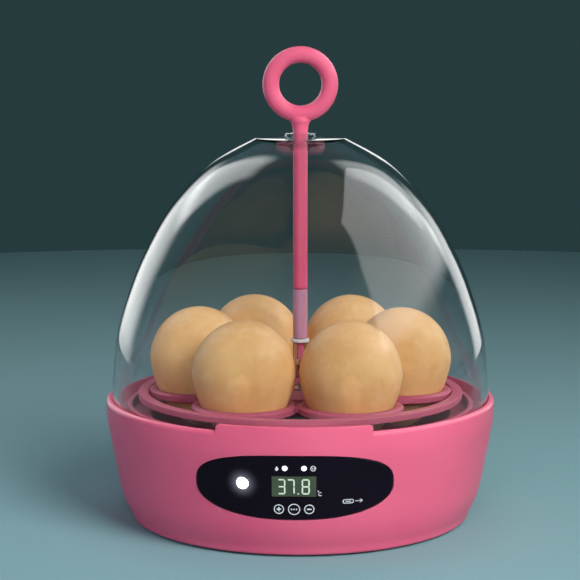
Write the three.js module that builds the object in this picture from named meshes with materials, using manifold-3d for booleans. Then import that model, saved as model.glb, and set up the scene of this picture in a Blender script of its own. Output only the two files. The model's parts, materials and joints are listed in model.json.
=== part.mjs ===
// A tabletop egg incubator: a round tub with a control panel, a clear egg-shaped dome,
// a turning rack for six eggs, and a ring handle whose rod passes through the dome
// and plugs into the rack. Millimetres, +Z up, the front with the panel faces -Y,
// and the origin is the centre of the footprint on the table.
import * as THREE from "three";
import { mergeVertices } from "three/addons/utils/BufferGeometryUtils.js";
import Module from "manifold-3d";

const wasm = await Module();
wasm.setup();

// ---------------------------------------------------------------- driving dimensions
const GAP = 0.3;
const ROUND = 40;
const SMALL = 16;

const base = {
  bottom: 1,
  edge: 2,
  footRadius: 77.2,
  knee: 18,
  kneeRadius: 83,
  taper: 0.185,
  shoulder: 44,
  shoulderTop: 50,
  wall: 2.4,
  ledge: 46.6,
  ledgeRadius: 83.5,
  rimInner: 86.2,
  rimRound: 2,
  rimTop: 55.5,
  tabTop: 58.4,
  tabWidth: 65.6,
  tabCorner: 1.2,
  throat: 73,
};
const cover = { radius: 72.7, thickness: 2.2 };
const tub = {
  floorTop: 26,
  thickness: 2,
  wellRadius: 68,
  bore: 16.5,
  shelfTop: 48.5,
  shelfThickness: 1.6,
  shelfRadius: 85.9,
  ringOuter: 79,
  ringInner: 76.6,
  ringTop: 53.2,
};
const feet = { count: 4, orbit: 67, radius: 5, firstAngle: 45 };
const coverScrews = { count: 4, orbit: 52, firstAngle: 45 };
const tray = { inner: 40, outer: 66, height: 6.7, wall: 1.2 };
const fan = { side: 40, height: 10, bore: 18.6, hub: 9, blades: 7, holePitch: 32 };
const cowl = { radius: 30, top: 40.5, wall: 1.6, pinRadius: 4, pinTop: 53 };
const heater = { orbit: 34, wire: 1.5, height: 30.8, clips: 3 };
const sensor = { orbit: 72.4, angle: 100, flange: 2.9, stem: 1.7, top: 54.6 };
const hub = { flangeRadius: 14, flangeTop: 43, hexFlats: 12, top: 54.9 };
const rack = {
  bottom: 55.4,
  top: 58.2,
  outer: 73.9,
  band: 4.7,
  plateRadius: 25,
  plateTop: 57.6,
  webInner: 34,
  webOuter: 44,
  collarRadius: 23,
  collarTop: 58.7,
  skirtRadius: 9.5,
  skirtBottom: 46,
};
const egg = {
  count: 6,
  orbit: 46.3,
  radius: 22.5,
  equator: 71.9,
  upper: 23.5,
  lower: 31,
  taper: 0.15,
};
const post = { radius: 3.4, flange: 6.5, top: 79.2, boreFlats: 3.6, boreBottom: 69.5 };
const dome = {
  bottom: 48.8,
  top: 172.4,
  flatRadius: 20.2,
  wall: 2.6,
  hole: 5.5,
  bossRadius: 11.5,
  bossDepth: 1.8,
};
const rod = { radius: 3.3, core: 2, coreBottom: 79.5, shoulder: 104.1, tipFlats: 2.9, tipBottom: 71.5 };
const ringHandle = { centre: 196.4, major: 13.24, tube: 3.76 };
const panel = { halfWidth: 41.3, middle: 33, up: 13.3, down: 14.8, proud: 0.45, inset: 1 };
const display = { width: 18.6, height: 9.2, middle: 33, recess: 0.15, back: -80.6 };
const lamp = { x: -21.6, z: 33.8, radius: 2.55 };
const indicators = { x: [-3.8, 4.2], z: 41.1, radius: 1.15 };
const keys = [
  { name: "plus", x: -6.3, radius: 2.35 },
  { name: "set", x: 0, radius: 2.75 },
  { name: "minus", x: 6.3, radius: 2.35 },
];
const keyRow = { z: 23.1, cap: 2.1, flange: 0.45, stem: 0.9, reach: 4.6 };
const board = { front: -74.6, thickness: 1.6, width: 56, bottom: 19.4, top: 43.4 };
const boardScrews = { x: [-24.5, 24.5], z: 22.5, post: 2.8, postLength: 4.6, pilotDepth: 3.4 };
const boardWindow = { width: 26, height: 24, middle: 31.2 };
const usb = { height: 12.9, width: 9, thick: 3.4, length: 8, mouth: 78, wall: 0.4 };
const socketBay = { halfWidth: 9, inner: 75.8, bottom: 7.5, top: 18.3, halfMouth: 7, halfSlot: 3.5 };
const powerPost = { x: 8, y: 64, radius: 2.6, top: 9 };
const pilot = { cover: 1.6, board: 1.3 };

// -------------------------------------------------------------------------- materials
function plastic(color, roughness, extra = {}) {
  return new THREE.MeshStandardMaterial({ color, roughness, metalness: 0, ...extra });
}
const look = {
  pink: plastic(0xee6f88, 0.38),
  darkPink: plastic(0xd9567a, 0.42),
  gloss: plastic(0x07060a, 0.08),
  clear: plastic(0xe9f2f4, 0.04, { transparent: true, opacity: 0.25 }),
  milky: plastic(0xc79bb4, 0.3, { transparent: true, opacity: 0.7 }),
  white: plastic(0xeceaf0, 0.35),
  rubber: plastic(0x2b2b2e, 0.85),
  board: plastic(0x1d5a37, 0.5),
  dark: plastic(0x1b1c20, 0.5),
  display: plastic(0x526c4c, 0.15),
  lens: plastic(0xffffff, 0.1),
  silicone: plastic(0xc8402e, 0.6),
  shell: plastic(0xdca768, 0.6),
  steel: new THREE.MeshStandardMaterial({ color: 0xb9bcc2, roughness: 0.3, metalness: 1 }),
};

// --------------------------------------------------------------------- solid geometry
function toSolid(geometry) {
  const bare = geometry.clone();
  bare.deleteAttribute("normal");
  bare.deleteAttribute("uv");
  const merged = mergeVertices(bare, 1e-4);
  return new wasm.Manifold(
    new wasm.Mesh({
      numProp: 3,
      vertProperties: merged.attributes.position.array,
      triVerts: new Uint32Array(merged.index.array),
    }),
  );
}

function toGeometry(solid) {
  const data = solid.getMesh();
  return new THREE.BufferGeometry()
    .setAttribute("position", new THREE.BufferAttribute(data.vertProperties, 3))
    .setIndex(new THREE.BufferAttribute(data.triVerts, 1));
}

function join(first, ...others) {
  return toGeometry(others.reduce((sum, g) => sum.add(toSolid(g)), toSolid(first)));
}

function cut(first, ...others) {
  return toGeometry(others.reduce((rest, g) => rest.subtract(toSolid(g)), toSolid(first)));
}

function common(first, second) {
  return toGeometry(toSolid(first).intersect(toSolid(second)));
}

// A body of revolution about Z from [radius, height] corners, given in either direction.
// A profile that doesn't start and end on the axis is closed on itself.
function turned(corners, segments = ROUND) {
  const area = corners.reduce((sum, [r, z], i) => {
    const [nextR, nextZ] = corners[(i + 1) % corners.length];
    return sum + r * nextZ - nextR * z;
  }, 0);
  const ordered = area < 0 ? [...corners].reverse() : [...corners];
  const onAxis = ordered.filter(([r]) => r === 0).length > 0;
  if (onAxis) {
    while (!(ordered[0][0] === 0 && ordered[ordered.length - 1][0] === 0)) {
      ordered.push(ordered.shift());
    }
  } else {
    ordered.push(ordered[0]);
  }
  const profile = ordered.map(([r, z]) => new THREE.Vector2(r, z));
  return new THREE.LatheGeometry(profile, segments).rotateX(Math.PI / 2);
}

function disc(radius, low, high, segments = SMALL) {
  return turned([[0, low], [radius, low], [radius, high], [0, high]], segments);
}

function tube(inner, outer, low, high, segments = SMALL) {
  return turned([[inner, low], [outer, low], [outer, high], [inner, high]], segments);
}

function block(x0, x1, y0, y1, z0, z1) {
  return new THREE.BoxGeometry(x1 - x0, y1 - y0, z1 - z0)
    .translate((x0 + x1) / 2, (y0 + y1) / 2, (z0 + z1) / 2);
}

function prism(shape, low, high, curveSegments = 6) {
  return new THREE.ExtrudeGeometry(shape, {
    depth: high - low,
    bevelEnabled: false,
    curveSegments,
  }).translate(0, 0, low);
}

// The same prism standing on the XZ plane: shape x stays X, shape y becomes Z.
function prismAlongY(shape, yLow, yHigh, curveSegments = 6) {
  return prism(shape, -yHigh, -yLow, curveSegments).rotateX(Math.PI / 2);
}

function hexagon(flats) {
  const radius = flats / Math.sqrt(3);
  const corners = [];
  for (let i = 0; i < 6; i++) {
    const angle = (i * Math.PI) / 3;
    corners.push(new THREE.Vector2(radius * Math.cos(angle), radius * Math.sin(angle)));
  }
  return new THREE.Shape(corners);
}

function stadium(width, height) {
  const r = height / 2;
  const x = width / 2 - r;
  const shape = new THREE.Shape();
  shape.moveTo(-x, -r);
  shape.lineTo(x, -r);
  shape.absarc(x, 0, r, -Math.PI / 2, Math.PI / 2, false);
  shape.lineTo(-x, r);
  shape.absarc(-x, 0, r, Math.PI / 2, (3 * Math.PI) / 2, false);
  return shape;
}

function around(geometry, degrees, orbit = 0) {
  return geometry.clone().translate(orbit, 0, 0).rotateZ(THREE.MathUtils.degToRad(degrees));
}

function copies(count, firstAngle, make) {
  return Array.from({ length: count }, (_, i) => make(firstAngle + (i * 360) / count, i + 1));
}

// ------------------------------------------------------------------------ scene graph
const group = new THREE.Group();

function piece(name, geometry, material, parent = group) {
  const mesh = new THREE.Mesh(geometry, material);
  mesh.name = name;
  parent.add(mesh);
  return mesh;
}

// ------------------------------------------------------------- the wall of the base
// It swells from the foot to the knee, leans straight out to the shoulder, and is
// upright from there to the rim.
const coverTop = base.bottom + cover.thickness;
const wallStart = base.bottom + base.edge;
const kneeRise = base.knee - wallStart;
const kneeDrop = base.kneeRadius - base.taper * kneeRise - base.footRadius;
const footCurve = kneeDrop / kneeRise ** 2;
const shoulderCurve = base.taper / (2 * (base.shoulderTop - base.shoulder));

function wallRadius(height) {
  const z = Math.min(height, base.shoulderTop);
  const below = Math.max(0, base.knee - z);
  const above = Math.max(0, z - base.shoulder);
  const leaning = base.kneeRadius + base.taper * (z - base.knee);
  return leaning - footCurve * below ** 2 - shoulderCurve * above ** 2;
}

function wallSlope(height) {
  const z = Math.min(height, base.shoulderTop);
  const below = Math.max(0, base.knee - z);
  const above = Math.max(0, z - base.shoulder);
  return base.taper + 2 * footCurve * below - 2 * shoulderCurve * above;
}

function wallProfile(low, high, steps, offset) {
  return Array.from({ length: steps + 1 }, (_, i) => {
    const z = low + ((high - low) * i) / steps;
    return [wallRadius(z) + offset, z];
  });
}

// A frame on the front wall at (x, z): its +Z points straight out of the wall.
function wallFrame(x, z) {
  const radius = wallRadius(z) + panel.proud;
  const point = new THREE.Vector3(x, -Math.sqrt(radius ** 2 - x ** 2), z);
  const outward = new THREE.Vector3(point.x / radius, point.y / radius, -wallSlope(z)).normalize();
  const frame = new THREE.Group();
  frame.position.copy(point);
  frame.quaternion.setFromUnitVectors(new THREE.Vector3(0, 0, 1), outward);
  frame.updateMatrix();
  return frame;
}

function inWall(geometry, x, z) {
  return geometry.clone().applyMatrix4(wallFrame(x, z).matrix);
}

// The panel's outline: a flattened oval, squarer above its widest line than below it.
function panelOutline(grow) {
  const steps = 8;
  const points = [];
  for (let i = 0; i < 4 * steps; i++) {
    const angle = (i * Math.PI) / (2 * steps);
    const c = Math.cos(angle);
    const s = Math.sin(angle);
    const power = s > 0 ? 2 / 2.8 : 2 / 2.4;
    const height = (s > 0 ? panel.up : panel.down) + grow;
    points.push(
      new THREE.Vector2(
        (panel.halfWidth + grow) * Math.sign(c) * Math.abs(c) ** power,
        panel.middle + height * Math.sign(s) * Math.abs(s) ** power,
      ),
    );
  }
  return new THREE.Shape(points);
}

function frontRectangle(width, height, middle) {
  const shape = new THREE.Shape();
  shape.moveTo(-width / 2, middle - height / 2);
  shape.lineTo(width / 2, middle - height / 2);
  shape.lineTo(width / 2, middle + height / 2);
  shape.lineTo(-width / 2, middle + height / 2);
  return shape;
}

function boardPost(x) {
  return disc(boardScrews.post, 0, boardScrews.postLength, 12)
    .rotateX(Math.PI / 2)
    .translate(x, board.front - 0.4, boardScrews.z);
}

function boardPilot(x) {
  return disc(pilot.board, -1, boardScrews.pilotDepth, 10)
    .rotateX(Math.PI / 2)
    .translate(x, board.front - 0.4, boardScrews.z);
}

// ----------------------------------------------------------------------- base_shell
const panelLow = panel.middle - panel.down - 2;
const panelHigh = panel.middle + panel.up + 2;

// The upright tab at the front of the rim, flush with the wall.
function rimTab() {
  const ring = tube(
    base.rimInner, wallRadius(base.shoulderTop), base.shoulderTop, base.tabTop, ROUND,
  );
  const half = base.tabWidth / 2;
  const turn = base.tabCorner;
  const outline = new THREE.Shape();
  outline.moveTo(-half, base.shoulderTop - 1);
  outline.lineTo(half, base.shoulderTop - 1);
  outline.absarc(half - turn, base.tabTop - turn, turn, 0, Math.PI / 2, false);
  outline.absarc(-half + turn, base.tabTop - turn, turn, Math.PI / 2, Math.PI, false);
  return common(ring, prismAlongY(outline, -95, -60, 3));
}

function baseShell() {
  const rim = wallRadius(base.shoulderTop);
  const insideLow = coverTop + 0.6;
  const insideHigh = base.ledge - 5;
  const body = turned([
    [base.throat, base.bottom],
    [base.footRadius - base.edge, base.bottom],
    [base.footRadius - 0.6, base.bottom + 0.6],
    ...wallProfile(wallStart, base.shoulderTop, 7, 0),
    [rim, base.rimTop - base.rimRound],
    [rim - 0.3 * base.rimRound, base.rimTop - 0.3 * base.rimRound],
    [rim - base.rimRound, base.rimTop],
    [base.rimInner, base.rimTop],
    [base.rimInner, base.ledge],
    [base.ledgeRadius, base.ledge],
    [base.ledgeRadius, base.ledge - 1.4],
    ...wallProfile(insideLow, insideHigh, 3, -base.wall).reverse(),
    [base.throat, insideLow],
  ]);
  const solidInside = turned([
    [0, base.bottom],
    ...wallProfile(wallStart, base.ledge, 5, -0.2),
    [0, base.ledge],
  ]);
  const pocketRing = turned([
    ...wallProfile(panelLow, panelHigh, 4, -panel.inset - GAP),
    ...wallProfile(panelLow, panelHigh, 4, 4).reverse(),
  ]);
  const pocket = common(pocketRing, prismAlongY(panelOutline(GAP), -95, -60));
  const window = prismAlongY(
    frontRectangle(boardWindow.width, boardWindow.height, boardWindow.middle), -95, -70,
  );
  const bay = common(
    block(
      -socketBay.halfWidth, socketBay.halfWidth,
      socketBay.inner, 90,
      socketBay.bottom, socketBay.top,
    ),
    solidInside,
  );
  const posts = boardScrews.x.map((x) => common(boardPost(x), solidInside));
  return cut(
    join(body, rimTab(), bay, ...posts),
    pocket,
    window,
    inWall(disc(3.4, -12, 5), lamp.x, lamp.z),
    block(
      -socketBay.halfMouth, socketBay.halfMouth,
      usb.mouth + 0.1, 95,
      usb.height - socketBay.halfSlot, usb.height + socketBay.halfSlot,
    ),
    prismAlongY(stadium(usb.width + 2 * GAP, usb.thick + 2 * GAP), 60, 95)
      .translate(0, 0, usb.height),
    ...boardScrews.x.map(boardPilot),
  );
}
piece("base_shell", baseShell(), look.pink);

// ------------------------------------------------------- bottom_cover, feet, screws
const powerPosts = [-powerPost.x, powerPost.x];

function bottomCover() {
  const plate = disc(cover.radius, base.bottom, coverTop, ROUND);
  const boardStand = powerPosts.map((x) =>
    disc(powerPost.radius, coverTop - 0.5, powerPost.top, 12).translate(x, powerPost.y, 0),
  );
  const footHoles = copies(feet.count, feet.firstAngle, (a) =>
    around(disc(2.3, 0, 5, 12), a, feet.orbit),
  );
  const countersink = turned([
    [0, 0], [3.6, 0], [3.6, 2.4], [pilot.cover, 2.4], [pilot.cover, 5], [0, 5],
  ], 12);
  const screwHoles = copies(coverScrews.count, coverScrews.firstAngle, (a) =>
    around(countersink, a, coverScrews.orbit),
  );
  const pilots = powerPosts.map((x) =>
    disc(pilot.board, 4.5, 10, 10).translate(x, powerPost.y, 0),
  );
  const vents = [-16, -8, 0, 8, 16].map((x) => block(x - 1.5, x + 1.5, -16, 16, 0, 5));
  return cut(join(plate, ...boardStand), ...footHoles, ...screwHoles, ...pilots, ...vents);
}
piece("bottom_cover", bottomCover(), look.darkPink);

const footProfile = [
  [0, 0], [feet.radius, 0], [feet.radius, base.bottom - GAP], [2, base.bottom - GAP],
  [2, coverTop + GAP], [2.8, coverTop + GAP], [1.6, coverTop + 2.2], [0, coverTop + 2.2],
];
copies(feet.count, feet.firstAngle, (angle, n) =>
  piece("foot_" + n, around(turned(footProfile, 10), angle, feet.orbit), look.rubber),
);

// A pan-head screw along +Z: its head hangs below z = 0 and its shank rises above.
function screw(headRadius, headHeight, shankRadius, length) {
  const body = turned([
    [0, -headHeight], [headRadius, -headHeight], [headRadius, 0],
    [shankRadius, 0], [shankRadius, length - 0.8], [0, length],
  ], 10);
  const half = 0.75 * headRadius;
  return cut(body, block(-half, half, -0.25, 0.25, -headHeight - 1, 0.5 - headHeight));
}
copies(coverScrews.count, coverScrews.firstAngle, (angle, n) =>
  piece(
    "cover_screw_" + n,
    around(screw(3, 0.9, 1.3, 12).translate(0, 0, 2.1), angle, coverScrews.orbit),
    look.steel,
  ),
);

// ------------------------------------------------------------------------ inner_tub
function innerTub() {
  const floorBottom = tub.floorTop - tub.thickness;
  const shelfBottom = tub.shelfTop - tub.shelfThickness;
  const wellOuter = tub.wellRadius + tub.thickness;
  const body = turned([
    [tub.bore, floorBottom],
    [wellOuter, floorBottom],
    [wellOuter, shelfBottom],
    [tub.shelfRadius, shelfBottom],
    [tub.shelfRadius, tub.shelfTop],
    [tub.ringOuter, tub.shelfTop],
    [tub.ringOuter, tub.ringTop - 0.5],
    [tub.ringOuter - 0.5, tub.ringTop],
    [tub.ringInner + 0.5, tub.ringTop],
    [tub.ringInner, tub.ringTop - 0.5],
    [tub.ringInner, tub.shelfTop],
    [tub.wellRadius + 1.2, tub.shelfTop],
    [tub.wellRadius, tub.shelfTop - 1.2],
    [tub.wellRadius, tub.floorTop],
    [tub.bore, tub.floorTop],
  ]);
  const boss = disc(4, coverTop + GAP, floorBottom + 0.5, 14);
  const bosses = copies(coverScrews.count, coverScrews.firstAngle, (a) =>
    around(boss, a, coverScrews.orbit),
  );
  const pilots = copies(coverScrews.count, coverScrews.firstAngle, (a) =>
    around(disc(pilot.cover, 0, 16, 10), a, coverScrews.orbit),
  );
  const clipTop = heater.height - heater.wire - GAP;
  const clip = block(-1.5, 1.5, -2, 2, tub.floorTop - 0.5, clipTop);
  const clips = copies(heater.clips, 30, (a) => around(clip, a, heater.orbit));
  const wireHole = block(-3, 3, heater.orbit - 2.5, heater.orbit + 3, 20, 30);
  return cut(join(body, ...bosses, ...clips), ...pilots, wireHole, ...fanPilots());
}

function fanCorners() {
  const half = fan.holePitch / 2;
  return [[-half, -half], [half, -half], [half, half], [-half, half]];
}

function fanPilots() {
  return fanCorners().map(([x, y]) => disc(pilot.cover, 20, 30, 10).translate(x, y, 0));
}
piece("inner_tub", innerTub(), look.pink);

// ----------------------------------------------------- water_tray and heater_ring
const trayBottom = tub.floorTop + GAP;
piece(
  "water_tray",
  turned([
    [tray.inner, trayBottom],
    [tray.outer, trayBottom],
    [tray.outer, trayBottom + tray.height],
    [tray.outer - tray.wall, trayBottom + tray.height],
    [tray.outer - tray.wall, trayBottom + tray.wall],
    [tray.inner + tray.wall, trayBottom + tray.wall],
    [tray.inner + tray.wall, trayBottom + tray.height],
    [tray.inner, trayBottom + tray.height],
  ], 32),
  look.darkPink,
);

piece(
  "heater_ring",
  new THREE.TorusGeometry(heater.orbit, heater.wire, 6, 28).translate(0, 0, heater.height),
  look.silicone,
);

// ---------------------------------------------------------------------------- the fan
const fanBottom = tub.floorTop + GAP;

function fanFrame() {
  const half = fan.side / 2;
  const outline = new THREE.Shape();
  const corner = 3;
  outline.moveTo(-half + corner, -half);
  outline.lineTo(half - corner, -half);
  outline.absarc(half - corner, -half + corner, corner, -Math.PI / 2, 0, false);
  outline.absarc(half - corner, half - corner, corner, 0, Math.PI / 2, false);
  outline.absarc(-half + corner, half - corner, corner, Math.PI / 2, Math.PI, false);
  outline.absarc(-half + corner, -half + corner, corner, Math.PI, 1.5 * Math.PI, false);
  const bored = cut(
    prism(outline, fanBottom, fanBottom + fan.height, 3),
    disc(fan.bore, fanBottom - 1, fanBottom + fan.height + 1, 24),
    ...fanCorners().map(([x, y]) => disc(1.8, 20, 40, 10).translate(x, y, 0)),
  );
  const motorPlate = disc(fan.hub, fanBottom, fanBottom + 1.4, 16);
  const struts = copies(4, 45, (a) =>
    around(block(fan.hub - 1, fan.bore + 0.6, -1, 1, fanBottom, fanBottom + 1.4), a),
  );
  return join(bored, motorPlate, ...struts);
}
piece("fan_frame", fanFrame(), look.dark);

function fanImpeller() {
  const low = fanBottom + 1.4 + GAP;
  const high = fanBottom + fan.height - 0.4;
  const reach = fan.bore - 0.7;
  const rotorHub = disc(fan.hub, low, high, 16);
  const blades = copies(fan.blades, 0, (a) =>
    around(
      block(fan.hub - 1, reach - 0.4, -0.5, 0.5, -4.5, 4.5)
        .rotateX(THREE.MathUtils.degToRad(48))
        .translate(0, 0, (low + high) / 2),
      a,
    ),
  );
  return join(rotorHub, ...blades);
}
piece("fan_impeller", fanImpeller(), look.dark);

fanCorners().filter(([x, y]) => x * y > 0).forEach(([x, y], i) =>
  piece(
    "fan_screw_" + (i + 1),
    screw(2.4, 1.2, 1.3, 14)
      .rotateX(Math.PI)
      .translate(x, y, fanBottom + fan.height + GAP),
    look.steel,
  ),
);

// ----------------------------------------------------- fan_cowl with the pivot pin
function fanCowl() {
  const low = tub.floorTop + GAP;
  const inner = cowl.radius - cowl.wall;
  const cup = turned([
    [inner, low],
    [cowl.radius, low],
    [cowl.radius, cowl.top - 1.5],
    [cowl.radius - 1.5, cowl.top],
    [cowl.pinRadius, cowl.top],
    [cowl.pinRadius, cowl.pinTop - 0.6],
    [cowl.pinRadius - 0.6, cowl.pinTop],
    [0, cowl.pinTop],
    [0, cowl.top - cowl.wall],
    [inner, cowl.top - cowl.wall],
  ], 24);
  const topSlots = copies(8, 22.5, (a) => around(block(16, 26, -1.5, 1.5, 36, 45), a));
  const sideSlots = copies(8, 22.5, (a) => around(block(25, 35, -3, 3, low + 2, cowl.top - 3), a));
  return cut(cup, ...topSlots, ...sideSlots);
}
piece("fan_cowl", fanCowl(), look.darkPink);

// --------------------------------------------------------------- temperature_sensor
piece(
  "temperature_sensor",
  around(
    turned([
      [0, tub.shelfTop + GAP],
      [sensor.flange, tub.shelfTop + GAP],
      [sensor.flange, tub.shelfTop + 1.6],
      [sensor.stem, tub.shelfTop + 2.2],
      [sensor.stem, sensor.top - 1.2],
      [0, sensor.top],
    ], 10),
    sensor.angle,
    sensor.orbit,
  ),
  look.steel,
);

// --------------------------------------------------------------------- control panel
function controlPanel() {
  const skin = turned([
    ...wallProfile(panelLow, panelHigh, 4, -panel.inset),
    ...wallProfile(panelLow, panelHigh, 4, panel.proud).reverse(),
  ]);
  return cut(
    common(skin, prismAlongY(panelOutline(0), -95, -60)),
    prismAlongY(
      frontRectangle(display.width + 2 * GAP, display.height + 2 * GAP, display.middle),
      -95, -70,
    ),
    inWall(disc(lamp.radius + GAP, -6, 3), lamp.x, lamp.z),
    ...indicators.x.map((x) => inWall(disc(indicators.radius + GAP, -6, 3, 14), x, indicators.z)),
    ...keys.map((key) => inWall(disc(key.radius + GAP, -6, 3), key.x, keyRow.z)),
  );
}
piece("control_panel", controlPanel(), look.gloss);

piece(
  "lcd_display",
  common(
    turned([
      [0, 20],
      ...wallProfile(20, 45, 4, panel.proud - display.recess),
      [0, 45],
    ]),
    prismAlongY(frontRectangle(display.width, display.height, display.middle), -95, display.back),
  ),
  look.display,
);

// The candling lamp is a domed lens in the panel with its lamp on the board behind.
const lampFrame = wallFrame(lamp.x, lamp.z);
group.add(lampFrame);
piece(
  "candler_lens",
  turned([
    [0, -3], [lamp.radius, -3], [lamp.radius, -0.1], [2, 0.35], [1, 0.55], [0, 0.6],
  ], 18),
  look.lens,
  lampFrame,
);
piece(
  "candler_led",
  turned([
    [0, 0], [2.4, 0], [2.4, 0.8], [2, 0.8], [2, 2.6], [1.4, 4], [0, 4.6],
  ], 14)
    .rotateX(Math.PI / 2)
    .translate(lamp.x + 1.5, board.front - GAP, lamp.z + 1.2),
  look.lens,
);

indicators.x.forEach((x, i) => {
  const frame = wallFrame(x, indicators.z);
  group.add(frame);
  piece(
    "indicator_" + (i + 1),
    turned([
      [0, -11.5], [indicators.radius, -11.5], [indicators.radius, -0.2],
      [indicators.radius - 0.3, 0.1], [0, 0.1],
    ], 12),
    look.lens,
    frame,
  );
});

keys.forEach((key) => {
  const frame = wallFrame(key.x, keyRow.z);
  group.add(frame);
  const skirt = key.radius + keyRow.flange;
  piece(
    "key_" + key.name,
    turned([
      [0, -keyRow.reach], [keyRow.stem, -keyRow.reach], [keyRow.stem, -keyRow.cap - 0.9],
      [skirt, -keyRow.cap - 0.9], [skirt, -keyRow.cap], [key.radius, -keyRow.cap],
      [key.radius, 0], [key.radius - 0.3, 0.25], [0, 0.25],
    ], SMALL),
    look.gloss,
    frame,
  );
  const inward = new THREE.Vector3(0, 0, -1).applyQuaternion(frame.quaternion);
  const plungerTip = board.front - 4.1;
  const travel = (plungerTip - frame.position.y) / inward.y;
  const spot = frame.position.clone().addScaledVector(inward, travel);
  piece(
    "switch_" + key.name,
    join(
      block(-2.25, 2.25, board.front - 3.3, board.front - GAP, -2.25, 2.25),
      disc(1.2, 3, 4.1, 12).rotateX(Math.PI / 2).translate(0, board.front, 0),
    ).translate(spot.x, 0, spot.z),
    look.dark,
  );
});

// --------------------------------------------------------------------- control_board
function controlBoard() {
  const back = board.front + board.thickness;
  const plate = block(
    -board.width / 2, board.width / 2, board.front, back, board.bottom, board.top,
  );
  const chip = block(8, 17, back - 0.1, back + 1.6, 30, 39);
  const plug = block(-16, -6, back - 0.1, back + 4.5, 19.8, 23.6);
  const holes = boardScrews.x.map((x) =>
    disc(pilot.board, -4, 4, 10).rotateX(Math.PI / 2).translate(x, board.front, boardScrews.z),
  );
  return cut(join(plate, chip, plug), ...holes);
}
piece("control_board", controlBoard(), look.board);

boardScrews.x.forEach((x, i) =>
  piece(
    "board_screw_" + (i + 1),
    screw(2.1, 1.2, 1, 5.4)
      .rotateX(Math.PI / 2)
      .translate(x, board.front + board.thickness + GAP, boardScrews.z),
    look.steel,
  ),
);

// --------------------------------------------------------- power_board, usb_c_socket
const powerBoardBottom = powerPost.top + GAP;
const powerBoardTop = powerBoardBottom + 1.2;
piece(
  "power_board",
  cut(
    block(-11, 11, 60, 75.5, powerBoardBottom, powerBoardTop),
    ...powerPosts.map((x) => disc(pilot.board, 5, 15, 10).translate(x, powerPost.y, 0)),
  ),
  look.board,
);
powerPosts.forEach((x, i) =>
  piece(
    "power_screw_" + (i + 1),
    screw(2.1, 1, 1, 4.6).rotateX(Math.PI).translate(x, powerPost.y, powerBoardTop + GAP),
    look.steel,
  ),
);

function usbSocket() {
  const outer = prismAlongY(stadium(usb.width, usb.thick), usb.mouth - usb.length, usb.mouth, 5);
  const inner = prismAlongY(
    stadium(usb.width - 2 * usb.wall, usb.thick - 2 * usb.wall), usb.mouth - 6.6, usb.mouth + 1, 5,
  );
  const tongue = block(-3.3, 3.3, usb.mouth - 7, usb.mouth - 0.6, -0.35, 0.35);
  return join(cut(outer, inner), tongue).translate(0, 0, usb.height);
}
piece("usb_c_socket", usbSocket(), look.steel);

// -------------------------------------------------------------------------- turn_hub
function turnHub() {
  const low = cowl.top + GAP;
  const bore = cowl.pinRadius + GAP;
  const flange = disc(hub.flangeRadius, low, hub.flangeTop, 20);
  const column = prism(hexagon(hub.hexFlats), low, hub.top);
  return cut(join(flange, column), disc(bore, low - 1, cowl.pinTop + GAP, SMALL));
}
piece("turn_hub", turnHub(), look.white);

// -------------------------------------------------------------------------- egg_rack
function eggRadius(z) {
  const lower = z < egg.equator;
  const s = Math.abs(z - egg.equator) / (lower ? egg.lower : egg.upper);
  const round = Math.sqrt(Math.max(0, 1 - s * s));
  return egg.radius * round * (lower ? 1 - egg.taper * s : 1);
}

function eggRack() {
  const rim = tube(rack.outer - rack.band, rack.outer, rack.bottom, rack.top, ROUND);
  const plate = disc(rack.plateRadius, rack.bottom, rack.plateTop, 24);
  const web = tube(rack.webInner, rack.webOuter, rack.bottom, rack.top, 30);
  const collar = turned([
    [0, rack.bottom],
    [rack.collarRadius, rack.bottom],
    [rack.collarRadius, rack.top - 0.4],
    [rack.collarRadius - 1.2, rack.collarTop],
    [0, rack.collarTop],
  ], 20);
  const seat = turned([
    [0, rack.bottom - 1],
    [eggRadius(rack.bottom - 1) + GAP, rack.bottom - 1],
    [eggRadius(rack.collarTop + 1) + GAP, rack.collarTop + 1],
    [0, rack.collarTop + 1],
  ], 20);
  const skirt = disc(rack.skirtRadius, rack.skirtBottom, rack.bottom + 1, 18);
  const collars = copies(egg.count, 0, (a) => around(collar, a, egg.orbit));
  const seats = copies(egg.count, 0, (a) => around(seat, a, egg.orbit));
  const hubSocket = prism(hexagon(hub.hexFlats + 2 * GAP), rack.skirtBottom - 1, hub.top + GAP);
  return cut(join(rim, plate, web, skirt, ...collars), ...seats, hubSocket);
}
piece("egg_rack", eggRack(), look.pink);

piece(
  "socket_post",
  cut(
    turned([
      [0, rack.plateTop + GAP], [post.flange, rack.plateTop + GAP],
      [post.flange, rack.plateTop + 1.5], [post.radius, rack.plateTop + 2.6],
      [post.radius, post.top], [0, post.top],
    ], 16),
    prism(hexagon(post.boreFlats), post.boreBottom, post.top + 1),
  ),
  look.clear,
);

// ------------------------------------------------------------------------------ eggs
function eggBody() {
  const steps = 9;
  const corners = [];
  for (let i = 0; i <= steps; i++) {
    const angle = (i * Math.PI) / steps - Math.PI / 2;
    const reach = angle < 0 ? egg.lower : egg.upper;
    const z = egg.equator + reach * Math.sin(angle);
    corners.push([i === 0 || i === steps ? 0 : eggRadius(z), z]);
  }
  return turned(corners, 12);
}
copies(egg.count, 0, (angle, n) =>
  piece("egg_" + n, around(eggBody(), angle, egg.orbit), look.shell),
);

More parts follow.
